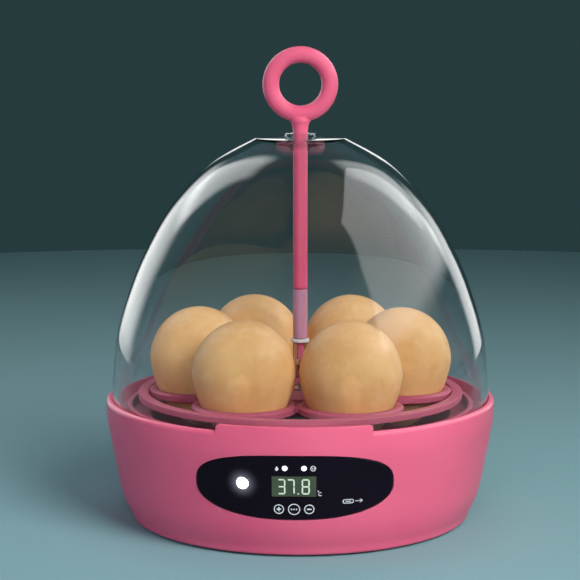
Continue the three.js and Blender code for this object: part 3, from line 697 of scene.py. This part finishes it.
def make_liner():
    outside, base, under_shelf, edge = WELL + WELL_WALL, FLOOR - WELL_WALL, SHELF - 1.6, liner_high.x
    outline = rounded([
        (WELL_HOLE, base), (outside, base, 1), (outside, under_shelf), (edge, under_shelf),
        (edge, SHELF), (RING_OUTER, SHELF, 0.4), (RING_OUTER, RING_TOP, 0.6),
        (RING_INNER, RING_TOP, 0.6), (RING_INNER, SHELF, 1), (WELL, SHELF, 1.6),
        (WELL, FLOOR, 2.5), (WELL_HOLE, FLOOR, 0.5),
    ])
    # The liner wears the darker copy of the pink: painted shade.
    dress(lathe("tub_liner", outline, 192), "base", "pink_plastic", ["inner_tub"], "pink_in_painted_shade")


make_liner()

# ---- dome

DOME_WALL = 2.6
DOME_FLAT = 20.2
DOME_HOLE = 5.5
BOSS_RADIUS = 11.5
BOSS_DEPTH = 1.8
DOME_STEPS = 64


def dome_curve():
    """The dome's outer line, a smooth curve through a few points of its egg shape."""
    knots = [(dome_high.x, dome_low.z), (85.7, 58), (85.2, 66.7), (83.2, 84), (78.2, 101.6),
             (70.5, 120.6), (58.3, 142), (40.6, 160.8), (DOME_FLAT, dome_high.z)]
    points = [Vector(k) for k in knots]
    line = []
    for i in range(DOME_STEPS + 1):
        at = i / DOME_STEPS * (len(points) - 1)
        k = min(int(at), len(points) - 2)
        t = at - k
        a, b, c, d = (points[min(max(j, 0), len(points) - 1)] for j in (k - 1, k, k + 1, k + 2))
        line.append(0.5 * (2 * b + (c - a) * t + (2 * a - 5 * b + 4 * c - d) * t**2
                           + (3 * b - a - 3 * c + d) * t**3))
    return line


def make_dome():
    outside = dome_curve()
    inside = []
    for i, point in enumerate(outside):
        along = (outside[min(i + 1, DOME_STEPS)] - outside[max(i - 1, 0)]).normalized()
        inside.append(point + Vector((-along.y, along.x)) * DOME_WALL)
    top, ceiling = dome_high.z, dome_high.z - DOME_WALL
    foot, wide = dome_low.z, dome_high.x
    outline = [Vector((wide - 0.5, foot)), Vector((wide - 0.15, foot + 0.15))] + outside[1:-1]
    outline += rounded([outside[-2], (DOME_FLAT, top, 1.2), (DOME_HOLE + 1, top)], closed=False)[1:]
    outline += rounded([
        (DOME_HOLE + 1, top), (DOME_HOLE, top, 0.4), (DOME_HOLE, ceiling - BOSS_DEPTH, 0.4),
        (BOSS_RADIUS, ceiling - BOSS_DEPTH, 0.8), (BOSS_RADIUS + 1.2, ceiling, 0.8), (18.6, ceiling),
    ], closed=False)[1:-1]
    outline += rounded([(15, ceiling), (19.4, ceiling, 1.5), inside[-3]], closed=False)[:-1]
    outline += list(reversed(inside[2:-2]))
    outline += [Vector((wide - DOME_WALL + 0.1, foot + 0.4)), Vector((wide - DOME_WALL + 0.4, foot))]
    dress(lathe("clear_dome", outline, 224), "dome", "clear_plastic", ["dome"])


make_dome()


def make_bush():
    """A flanged ring with a lip that snaps in under the dome's hole."""
    bore, neck, lip, flange = 3.6, 5.2, 6.1, 7
    low, high = bush_low.z, bush_high.z
    face = dome_high.z + CLEARANCE
    outline = rounded([
        (bore, low, 0.3), (neck, low, 0.4), (lip, low + 0.9, 0.3), (lip, low + 1.5, 0.1),
        (neck, low + 1.5), (neck, face), (flange, face, 0.3), (flange, high, 1.0), (bore, high, 0.4),
    ])
    dress(lathe("dome_bush_ring", outline, 64), "bush", "clear_plastic", ["dome_bush"])


make_bush()

# ---- handle and its rod

ROD_RADIUS = 3.3
RING_MAJOR = 13.24
RING_TUBE = 3.76
RING_CENTRE = handle_high.z - RING_MAJOR - RING_TUBE
ROD_CORE = 2.0
TIP_FLATS = 2.9
SLEEVE_BORE = 2.3
COLLAR_RADIUS = 4.1


def hexagon(flats):
    return circle(flats / math.sqrt(3), 6)


def make_ring(around=96, across=32):
    """The finger ring, standing upright over the rod and seen as a circle from the front."""
    bm = bmesh.new()
    grid = []
    for a in full_turn(around):
        row = []
        for b in full_turn(across):
            r = RING_MAJOR + RING_TUBE * math.cos(b)
            x, y, z = r * math.cos(a), RING_TUBE * math.sin(b), RING_CENTRE + r * math.sin(a)
            row.append(bm.verts.new((x, y, z)))
        grid.append(row)
    for i, n in sides(around):
        for k, m in sides(across):
            bm.faces.new([grid[i][k], grid[n][k], grid[n][m], grid[i][m]])
    return make("ring_handle", bm)


def make_handle():
    """The ring and its rod as one moulding, with a soft joint between them."""
    ring = make_ring()
    foot = RING_CENTRE - RING_MAJOR
    shoulder = sleeve_high.z + CLEARANCE
    neck = [(3.35, foot - 8.2), (3.5, foot - 6.4), (3.75, foot - 5.0), (4.2, foot - 3.9), (4.5, foot - 3.2),
            (4.2, foot - 1.6)]
    shaft = rounded([
        (0, collar_low.z), (ROD_CORE, collar_low.z), (ROD_CORE, shoulder), (ROD_RADIUS, shoulder, 0.3),
        (ROD_RADIUS, foot - 12),
    ], closed=False)
    shaft += [Vector(corner) for corner in neck + [(0, foot - 1)]]
    rod = lathe("rod", shaft, 48, closed=False)
    tip = prism("tip", hexagon(TIP_FLATS), handle_low.z, collar_low.z + 1)
    join(ring, rod)
    modifier = ring.modifiers.new("fillet", "REMESH")
    modifier.mode = "VOXEL"
    modifier.voxel_size = 0.34 * MM
    smooth = ring.modifiers.new("smooth", "SMOOTH")
    smooth.factor = 0.6
    smooth.iterations = 6
    apply(ring)
    sharpen(ring.data, 60)
    join(ring, tip)
    dress(ring, "handle", "pink_plastic", ["handle"])


make_handle()


def make_rod_end(name, node, slot, radius, fillet):
    """A tube on the rod's core, as long as its CAD node."""
    low, high = (corner.z for corner in millimetres(node))
    corners = [(SLEEVE_BORE, low), (radius, low, fillet), (radius, high, fillet), (SLEEVE_BORE, high)]
    dress(lathe(name, rounded(corners), 48), "handle", slot, [node])


make_rod_end("rod_end_sleeve", "rod_sleeve", "milky_sleeve", ROD_RADIUS, 0.25)
make_rod_end("rod_end_collar", "rod_collar", "white_plastic", COLLAR_RADIUS, 0.45)

# ---- egg rack

EGG_ORBIT = (egg_low.x + egg_high.x) / 2
EGG_RADIUS = 22.5
EQUATOR = 71.9
SEAT_TOP = rack_high.z
RACK_BOTTOM = 55.4
RACK_TOP = 58.2
RACK_RING = 69.2
CUP_RADIUS = 23.0
EGG_GAP = 0.25
PLATE_RADIUS, PLATE_TOP = 25, 57.6
SKIRT_RADIUS = 9.5
SOCKET_FLATS = 12.6
WEB = (34, 44)
EGGS = 6


def egg_radius(z):
    """An egg's radius at a height; it narrows more towards its lower, pointed end."""
    lower = z < EQUATOR
    s = abs(z - EQUATOR) / ((EQUATOR - egg_low.z) if lower else (egg_high.z - EQUATOR))
    return EGG_RADIUS * math.sqrt(max(0.0, 1 - s * s)) * (1 - 0.15 * s if lower else 1)


def turned_to(index):
    """The place of a cup or an egg in the rack."""
    return Matrix.Rotation(math.radians(60 * index), 4, "Z") @ Matrix.Translation((EGG_ORBIT, 0, 0))


def flat_ring(name, inner, outer, lower_fillet, segments):
    """A flat ring as thick as the rack; lower_fillet is for its outer edge."""
    outline = rounded([
        (inner, RACK_BOTTOM, 0.4), (outer, RACK_BOTTOM, lower_fillet), (outer, RACK_TOP, 0.5),
        (inner, RACK_TOP, 0.5),
    ])
    return lathe(name, outline, segments)


def make_rack():
    """An outer ring, six cups, a web that ties the cups together, and a hub plate with a skirt."""
    rack = flat_ring("rack_frame", RACK_RING, rack_high.x, 0.5, 160)
    cup = rounded([
        (egg_radius(RACK_BOTTOM) + EGG_GAP, RACK_BOTTOM, 0.4), (CUP_RADIUS, RACK_BOTTOM, 0.5),
        (CUP_RADIUS, RACK_TOP - 0.4, 0.5), (CUP_RADIUS - 1.2, SEAT_TOP, 0.6),
        (egg_radius(SEAT_TOP) + EGG_GAP + 0.1, SEAT_TOP, 0.5),
    ])
    cups = [lathe("cup", cup, 72, place=turned_to(i)) for i in range(EGGS)]
    low, low_top = rack_low.z, RACK_BOTTOM + 1
    plate = rounded([
        (0, RACK_BOTTOM), (PLATE_RADIUS, RACK_BOTTOM, 0.4), (PLATE_RADIUS, PLATE_TOP, 0.7), (0, PLATE_TOP),
    ])
    skirt = rounded([(0, low), (SKIRT_RADIUS, low, 0.5), (SKIRT_RADIUS, low_top), (0, low_top)])
    socket = prism("socket", hexagon(SOCKET_FLATS), low - 1, hub_high.z + CLEARANCE)
    web = flat_ring("web", *WEB, 0.4, 96)
    seat = [(egg_radius(z) + EGG_GAP, z) for z in (RACK_BOTTOM - 1, SEAT_TOP + 1)]
    seat = [(0, RACK_BOTTOM - 1), *seat, (0, SEAT_TOP + 1)]
    cut(web, *(lathe("seat", seat, 72, place=turned_to(i)) for i in range(EGGS)))
    join(rack, *cups, web, lathe("plate", plate, 96), lathe("skirt", skirt, 48))
    cut(rack, socket)
    # The rack wears the darker copy of the pink: painted shade.
    dress(rack, "rack", "pink_plastic", ["egg_rack"], "rack_pink_painted_shade")


make_rack()


def make_post():
    """A clear post with a wide foot and a bore from the top for the rod's tip."""
    foot, radius, bore, bore_bottom = 6.5, 3.4, 2.1, 69.5
    base, top = post_low.z, post_high.z
    outline = rounded([
        (0, base), (foot, base, 0.3), (foot, base + 1.2, 0.5), (radius, base + 2.6, 1.0), (radius, top, 0.4),
        (bore, top, 0.3), (bore, bore_bottom), (0, bore_bottom),
    ])
    dress(lathe("rack_post", outline, 48), "rack", "clear_plastic", ["socket_post"])


make_post()


def make_egg(index):
    """A hen's egg, blunt end up, each a little different in how full its blunt end is."""
    rows = 48
    outline = []
    for k in range(rows + 1):
        a = math.pi * k / rows - math.pi / 2
        reach = EQUATOR - egg_low.z if a < 0 else egg_high.z - EQUATOR
        z = EQUATOR + reach * math.sin(a)
        outline.append(Vector((0 if k in (0, rows) else egg_radius(z), z)))
    egg = lathe(f"hen_egg_{index + 1}", outline, 72, closed=False)
    for vertex in egg.data.vertices:
        a = math.atan2(vertex.co.y, vertex.co.x)
        swell = 1 - 0.004 * (1 + math.cos(2 * a + index)) * max(0.0, (vertex.co.z / MM - EQUATOR) / 23)
        vertex.co.x *= swell
        vertex.co.y *= swell
    egg.data.transform(Matrix.Scale(MM, 4) @ turned_to(index) @ Matrix.Scale(1 / MM, 4))
    dress(egg, "rack", "egg_shell", [f"egg_{index + 1}"])


for number in range(EGGS):
    make_egg(number)

# ---- the control panel


def display_outline(grow, fillet):
    width, height = display_high.x - display_low.x, display_high.z - display_low.z
    return rectangle(width + grow, height + grow, fillet, (0, DISPLAY_MIDDLE))


def make_panel():
    panel = wall_slab("panel_fascia", panel_outline(), -1.0, PANEL_PROUD, edge=0.5, rings=14)
    cutters = [wall_slab("window", display_outline(0.3, 0.5), -4, 4, rings=2)]
    cutters.append(drilled(LAMP_RADIUS + 0.15, -6, 3, 48, *LAMP))
    cutters += [drilled(INDICATOR_RADIUS + 0.1, -6, 3, 32, x, INDICATOR_ROW) for x in INDICATORS.values()]
    cutters += [drilled(radius + 0.15, -6, 3, 48, x, KEY_ROW) for x, radius in KEYS.values()]
    cut(panel, *cutters)
    dress(panel, "base", "black_gloss_panel", ["control_panel"])


make_panel()

SCREEN = PANEL_PROUD - 0.15


def make_screen():
    screen = wall_slab("display_screen", display_outline(0, 0.4), -3.0, SCREEN, edge=0.15)
    dress(screen, "base", "lcd_glass", ["lcd_display"])


make_screen()


def make_lens():
    """A shallow domed lens over the lamp."""
    r, edge, bulge = LAMP_RADIUS, -0.15, 0.75
    outline = [(0, -3), (r, -3), (r, edge)]
    outline += [(r * math.cos(a), edge + bulge * math.sin(a)) for a in (0.15 * k for k in range(1, 10))]
    outline.append((0, edge + bulge))
    lens = lathe("lamp_lens", outline, 48, closed=False, place=wall_frame(*LAMP))
    dress(lens, "base", "lit_lens", ["candler_lens"])


make_lens()


def make_indicator(node, x):
    r = INDICATOR_RADIUS
    outline = rounded([(0, -6), (r, -6), (r, 0.15, 0.3), (0, 0.15)], closed=False)
    light = lathe(node + "_light", outline, 32, closed=False, place=wall_frame(x, INDICATOR_ROW))
    dress(light, "base", "lit_lens", [node], "indicator_light")


for node, x in INDICATORS.items():
    make_indicator(node, x)

# Printed marks: thin ink, in the panel's own (x, z) or in a key's own plane.
INK = 0.05
INK_WELD = 1e-5


def bar(x0, z0, x1, z1, width, gap=0.0):
    """A straight stroke with pointed ends, like a display segment, cut short by gap at each end."""
    start, end = Vector((x0, z0)), Vector((x1, z1))
    ahead = (end - start).normalized()
    start, end = start + ahead * gap, end - ahead * gap
    along = ahead * (width / 2)
    side = Vector((-along.y, along.x))
    return [start, start + along - side, end - along - side, end, end - along + side, start + along + side]


def ring_strokes(centre, radius, width, first=0.0, last=360.0, pieces=16):
    """An arc as short four-cornered strokes that meet."""
    strokes = []
    for k in range(pieces):
        a, b = (math.radians(first + (last - first) * t / pieces) for t in (k, k + 1))
        inner, outer = radius - width / 2, radius + width / 2
        ends = [(inner, b), (inner, a), (outer, a), (outer, b)]
        strokes.append([polar(centre, r, t) for r, t in ends])
    return strokes


def print_on(name, strokes, lift, body, slot, look, surface):
    """Raised ink: each stroke is a thin plate on the surface that surface(x, z, height) gives.

    Strokes that meet lose the walls between them.
    """
    bm = bmesh.new()
    for stroke in strokes:
        low = [bm.verts.new(surface(p.x, p.y, lift - INK)) for p in stroke]
        high = [bm.verts.new(surface(p.x, p.y, lift + INK)) for p in stroke]
        bm.faces.new(list(reversed(low)))
        bm.faces.new(high)
        belt(bm, low, high)
    bmesh.ops.remove_doubles(bm, verts=bm.verts, dist=INK_WELD)
    walls_between = [face for face in bm.faces if all(len(edge.link_faces) > 2 for edge in face.edges)]
    bmesh.ops.delete(bm, geom=walls_between, context="FACES_ONLY")
    dress(make(name, bm), body, slot, look=look)


SEGMENTS = {
    "a": (0, 1, 1, 1), "b": (1, 0.5, 1, 1), "c": (1, 0, 1, 0.5), "d": (0, 0, 1, 0),
    "e": (0, 0, 0, 0.5), "f": (0, 0.5, 0, 1), "g": (0, 0.5, 1, 0.5),
}
LIT_SEGMENTS = {"3": "abcdg", "7": "abc", "8": "abcdefg"}
SEGMENT_GAP = 0.07
DIGIT_WIDTH = 2.75
DIGIT_HEIGHT = 6.2
DIGIT_STROKE = 0.62
DIGIT_FOOT = DISPLAY_MIDDLE - DIGIT_HEIGHT / 2


def digit(symbol, left):
    strokes = []
    for name in LIT_SEGMENTS[symbol]:
        x0, z0, x1, z1 = SEGMENTS[name]
        start = (left + x0 * DIGIT_WIDTH, DIGIT_FOOT + z0 * DIGIT_HEIGHT)
        end = (left + x1 * DIGIT_WIDTH, DIGIT_FOOT + z1 * DIGIT_HEIGHT)
        strokes.append(bar(*start, *end, DIGIT_STROKE, SEGMENT_GAP))
    return strokes


def print_reading():
    point = rectangle(0.6, 0.6, 0.1, (1.75, DIGIT_FOOT))
    reading = digit("3", -6.6) + digit("7", -2.7) + digit("8", 3.5) + [point]
    print_on("display_reading", reading, SCREEN, "base", "lcd_glass", "display_digits", on_wall)


print_reading()


def drop_shape(x, z, size):
    """A rounded drop with its point up."""
    outline = []
    for a in full_turn(20):
        narrow = 1 if math.sin(a) < 0 else 1 - 0.55 * math.sin(a)
        tall = 1 if math.sin(a) < 0 else 1.7
        outline.append(Vector((x + size * math.cos(a) * narrow, z + size * math.sin(a) * tall)))
    return outline


def indicator_signs():
    """A drop beside the left indicator and a ringed pair of bars beside the right one."""
    low, high = INDICATOR_ROW - 0.45, INDICATOR_ROW + 0.45
    signs = [drop_shape(-7.1, INDICATOR_ROW - 0.3, 0.75)]
    signs += ring_strokes((8.0, INDICATOR_ROW), 1.05, 0.3)
    return signs + [bar(x, low, x, high, 0.35) for x in (7.6, 8.4)]


def unit_sign():
    """A small ring and an open arc after the reading."""
    ring = ring_strokes((10.1, 30.9), 0.28, 0.2, pieces=10)
    return ring + ring_strokes((10.9, 29.7), 0.72, 0.3, 50, 310, 12)


def port_sign(row=26.0):
    """A plug's outline with a bar in it, and an arrow after it."""
    outer = rectangle(4.6, 1.9, 0.9, (22.5, row))
    inner = inset(outer, 0.32)
    signs = [[outer[i], inner[i], inner[j], outer[j]] for i, j in sides(len(outer))]
    signs += [bar(21.3, row, 23.7, row, 0.34), bar(25.4, row, 28.4, row, 0.3)]
    return signs + [bar(27.3, row + 0.8 * side, 28.5, row - 0.04 * side, 0.3) for side in (1, -1)]


print_on("panel_marks", indicator_signs() + unit_sign() + port_sign(), PANEL_PROUD,
         "base", "black_gloss_panel", "panel_ink", on_wall)

PLUS_ARM = 1.1
SYMBOLS = {
    "key_plus": [bar(-PLUS_ARM, 0, PLUS_ARM, 0, 0.6), bar(0, -PLUS_ARM, 0, PLUS_ARM, 0.6)],
    "key_set": [circle(0.36, 12, (x, 0)) for x in (-1.05, 0.0, 1.05)],
    "key_minus": [bar(-PLUS_ARM, 0, PLUS_ARM, 0, 0.6)],
}


def make_key(node, x, radius):
    """A round cap with a wider skirt behind the panel and a stem, and its printed ring and symbol."""
    stem, stem_end, skirt, skirt_back, skirt_front, face = 0.9, -4.6, radius + 0.45, -3, -2.1, 0.25
    place = wall_frame(x, KEY_ROW)
    outline = rounded([
        (0, stem_end), (stem, stem_end), (stem, skirt_back), (skirt, skirt_back), (skirt, skirt_front),
        (radius, skirt_front), (radius, face, 0.35), (0, face),
    ], closed=False)
    cap = lathe(node + "_cap", outline, 48, closed=False, place=place)
    dress(cap, node, "black_gloss_panel", [node])
    strokes = ring_strokes((0, 0), radius - 0.4, 0.4, pieces=40) + SYMBOLS[node]
    print_on(node + "_mark", strokes, face, node, "black_gloss_panel", "panel_ink",
             lambda a, b, height: place @ Vector((a, b, height)))


for node, (x, radius) in KEYS.items():
    make_key(node, x, radius)

# ---- inside the tub

TRAY_INNER = 40
TRAY_WALL = 1.2
COWL_WALL = 1.6
COWL_TOP = 40.5
PIVOT_RADIUS = 4.0
TOP_SLOTS, SIDE_SLOTS = 24, 16
HEATER_RADIUS = 34


def make_tray():
    """A ring-shaped trough."""
    outer, inner = tray_high.x, TRAY_INNER
    low, high, floor = tray_low.z, tray_high.z, tray_low.z + TRAY_WALL
    outline = rounded([
        (outer, low, 1.5), (outer, high, 0.5),
        (outer - TRAY_WALL, high, 0.5), (outer - TRAY_WALL, floor, 1.2),
        (inner + TRAY_WALL, floor, 1.2), (inner + TRAY_WALL, high, 0.5),
        (inner, high, 0.5), (inner, low, 1.0),
    ])
    trough = lathe("water_trough", outline, 128)
    # The tray wears the darker copy of the pink: painted shade.
    dress(trough, "base", "deep_pink_plastic", ["water_tray"], "pink_in_painted_shade")


make_tray()


def make_cowl():
    """A cap over the fan, with air slots in its top and its side and the rack's pivot pin on it."""
    outer, inner, low = cowl_high.x, cowl_high.x - COWL_WALL, cowl_low.z
    outline = rounded([
        (inner, low), (outer, low, 0.3), (outer, COWL_TOP, 2.2), (PIVOT_RADIUS, COWL_TOP, 0.8),
        (PIVOT_RADIUS, cowl_high.z, 0.7), (0, cowl_high.z), (0, COWL_TOP - COWL_WALL),
        (inner, COWL_TOP - COWL_WALL, 1.2),
    ])
    cowl = lathe("fan_cover", outline, 96)
    slots = []
    for k in range(TOP_SLOTS):
        turn = Matrix.Rotation(math.radians(360 / TOP_SLOTS * k), 4, "Z")
        slots.append(prism("slot", rectangle(10, 2, 0.9, (21, 0)), 36, 45, turn))
    sideways = Matrix.Rotation(math.pi / 2, 4, "Y")
    for k in range(SIDE_SLOTS):
        turn = Matrix.Rotation(math.radians(360 / SIDE_SLOTS * k), 4, "Z") @ sideways
        slots.append(prism("slot", rectangle(8, 5, 1.5, (-33.2, 0)), 25, 35, turn))
    cut(cowl, merge("slots", slots))
    dress(cowl, "base", "deep_pink_plastic", ["fan_cowl"])


make_cowl()


def make_heater():
    """The heating wire's sleeve, a loop a little taller than it is wide."""
    low, high = millimetres("heater_ring")
    middle, half = (low.z + high.z) / 2, (high.z - low.z) / 2
    section = [(HEATER_RADIUS + 1.5 * math.cos(a), middle + half * 1.1 * math.sin(a)) for a in full_turn(20)]
    dress(lathe("heater_loop", section, 96), "base", "heater_silicone", ["heater_ring"])


make_heater()


def upright(name, node, slot, corners):
    """A small turned part that stands where its CAD node does."""
    low, high = millimetres(node)
    place = Matrix.Translation(((low.x + high.x) / 2, (low.y + high.y) / 2, 0))
    piece = lathe(name, rounded(corners, closed=False), 32, closed=False, place=place)
    dress(piece, "base", slot, [node])


def make_probe():
    foot, radius, low, high = 2.9, 1.7, sensor_low.z, sensor_high.z
    upright("probe", "temperature_sensor", "steel", [
        (0, low), (foot, low, 0.3), (foot, low + 1.3, 0.5), (radius, low + 2, 0.4), (radius, high, 1.6),
        (0, high),
    ])


make_probe()


def make_foot(node):
    """A round pad with a push-in stud that widens above the cover."""
    pad, stud, barb, tip, top = 5, 2, 2.8, 1.6, millimetres(node)[1].z
    upright(node + "_pad", node, "black_rubber", [
        (0, 0), (pad, 0, 0.35), (pad, 0.7, 0.25), (stud, 0.7), (stud, 3.5), (barb, 3.5), (tip, top), (0, top),
    ])


for number in range(1, 5):
    make_foot(f"foot_{number}")


def make_inlet():
    """The power inlet: a metal shell with its tongue."""
    centre = (0, (socket_low.z + socket_high.z) / 2)
    shell = prism("inlet_shell", rectangle(*INLET_SHELL, 1.65, centre), -78, -70, FACING_BACK)
    hollow = prism("hollow", rectangle(*INLET_OPENING, 1.28, centre), -79, -71.4, FACING_BACK)
    cut(shell, hollow)
    tongue = prism("tongue", rectangle(6.6, 0.7, 0.1, centre), -77.4, -71, FACING_BACK)
    join(shell, tongue)
    bevel(shell, 0.1)
    dress(shell, "base", "steel", ["usb_c_socket"])


make_inlet()

# ---- CAD nodes that keep their own shape

for subpart in frame["record"]["subparts"]:
    materials = frame["nodes"][subpart["node"]].data.materials
    materials.clear()
    materials.append(LOOKS[subpart["material_slot"]])

# ---- floor, lamps, camera

STAGE_RADIUS = 1.05
LAMP_SPREAD = math.radians(80)


def make_stage():
    """A plain pale round floor."""
    bm = bmesh.new()
    bmesh.ops.create_circle(bm, cap_ends=True, segments=160, radius=STAGE_RADIUS)
    mesh = bpy.data.meshes.new("stage")
    bm.to_mesh(mesh)
    bm.free()
    stage = add("stage", mesh)
    s = Shader("stage_paint", Specular_IOR_Level=0.05)
    tone = s.mix(s.noise(3, 2), (0.23, 0.43, 0.47, 1), (0.26, 0.46, 0.5, 1))
    mesh.materials.append(s.set(Base_Color=tone, Roughness=s.spread(s.noise(8), 0.3, 0.7, 0.85, 0.95)))


make_stage()


def lamp(name, place, target, size, power, colour=(1, 1, 1)):
    """A soft box that lights the object and isn't mirrored in it."""
    data = bpy.data.lights.new(name, "AREA")
    data.shape = "RECTANGLE"
    data.size, data.size_y = size
    data.energy = power
    data.color = colour
    data.spread = LAMP_SPREAD
    light = add(name, data)
    light.location = place
    light.rotation_euler = (Vector(target) - Vector(place)).to_track_quat("-Z", "Y").to_euler()
    light.visible_camera = False
    light.visible_glossy = False
    light.visible_transmission = False
    return light


def reflector(name, place, target, size, power, sharpness):
    """A card that is only seen mirrored in the glossy parts; it fades out to its edges."""
    card = lamp(name, place, target, size, power)
    card.visible_diffuse = False
    card.visible_glossy = True
    card.data.spread = math.pi
    card.data.use_nodes = True
    tree = card.data.node_tree

    def calculate(operation, *values):
        node = tree.nodes.new("ShaderNodeMath")
        node.operation = operation
        for socket, value in zip(node.inputs, values):
            if isinstance(value, bpy.types.NodeSocket):
                tree.links.new(value, socket)
            else:
                socket.default_value = value
        return node.outputs[0]

    def fade_across(position):
        """None at both ends and full in the middle; more sharpness widens the full part."""
        fade = tree.nodes.new("ShaderNodeMapRange")
        fade.interpolation_type = "SMOOTHSTEP"
        fade.inputs["From Max"].default_value = 0.25 / sharpness
        hump = calculate("MULTIPLY", position, calculate("SUBTRACT", 1.0, position))
        tree.links.new(hump, fade.inputs["Value"])
        return fade.outputs[0]

    geometry = tree.nodes.new("ShaderNodeNewGeometry")
    split = tree.nodes.new("ShaderNodeSeparateXYZ")
    tree.links.new(geometry.outputs["Parametric"], split.inputs[0])
    strength = calculate("MULTIPLY", fade_across(split.outputs["X"]), fade_across(split.outputs["Y"]))
    emission = next(node for node in tree.nodes if node.type == "EMISSION")
    tree.links.new(strength, emission.inputs["Strength"])


def around(degrees, distance, height):
    """A place round the object; 0 degrees is straight in front, and positive is to the right."""
    a = math.radians(degrees)
    return (distance * math.sin(a), -distance * math.cos(a), height)


centre = (0, 0, 0.09)
lamp("key", around(38, 1.05, 0.7), centre, (0.7, 0.6), 3.6, (1.0, 0.98, 0.95))
lamp("front", around(-5, 1.2, 0.5), centre, (0.6, 0.4), 0.8)
lamp("fill", around(-85, 1.0, 0.3), centre, (0.5, 0.5), 0.42, (0.88, 0.66, 1.0))
lamp("top", (0, 0.15, 1.1), centre, (0.5, 0.5), 0.28)
reflector("edge_left", around(-136, 0.8, 0.27), (0, 0, 0.12), (0.6, 0.7), 4.2, 1.1)
reflector("edge_right", around(140, 0.8, 0.2), (0, 0, 0.12), (0.34, 0.6), 1.8, 1.1)
reflector("upper_left", (-0.5, 0.48, 0.75), (0, 0, 0.15), (0.46, 0.85), 5.2, 1.4)
reflector("upper_right", (0.5, 0.48, 0.75), (0, 0, 0.15), (0.4, 0.8), 3.2, 1.4)
reflector("window", around(95, 0.9, 1.22), (0.078, 0, 1.22), (1.8, 1.8), 40.0, 3.5)
reflector("top_back", (0, 1.25, 0.37), (0, 0, 0.17), (0.7, 0.25), 1.0, 2.0)

BACKDROP = (0.02, 0.044, 0.047, 1)
world = bpy.data.worlds.new("studio")
bpy.context.scene.world = world
world.use_nodes = True
world.node_tree.nodes["Background"].inputs["Color"].default_value = BACKDROP

CAMERA_PLACE = (0.0256, -0.8375, 0.2205)
CAMERA_PITCH = 7.96
CAMERA_YAW = 1.75
CAMERA_LENS = 115.46
CAMERA_SHIFT = -0.0178
camera = add("camera", bpy.data.cameras.new("camera"))
camera.location = CAMERA_PLACE
camera.rotation_euler = (math.radians(90 - CAMERA_PITCH), 0, math.radians(CAMERA_YAW))
camera.data.sensor_width = 36
camera.data.lens = CAMERA_LENS
camera.data.shift_x = CAMERA_SHIFT
bpy.context.scene.camera = camera
bpy.context.scene.view_settings.view_transform = "Standard"
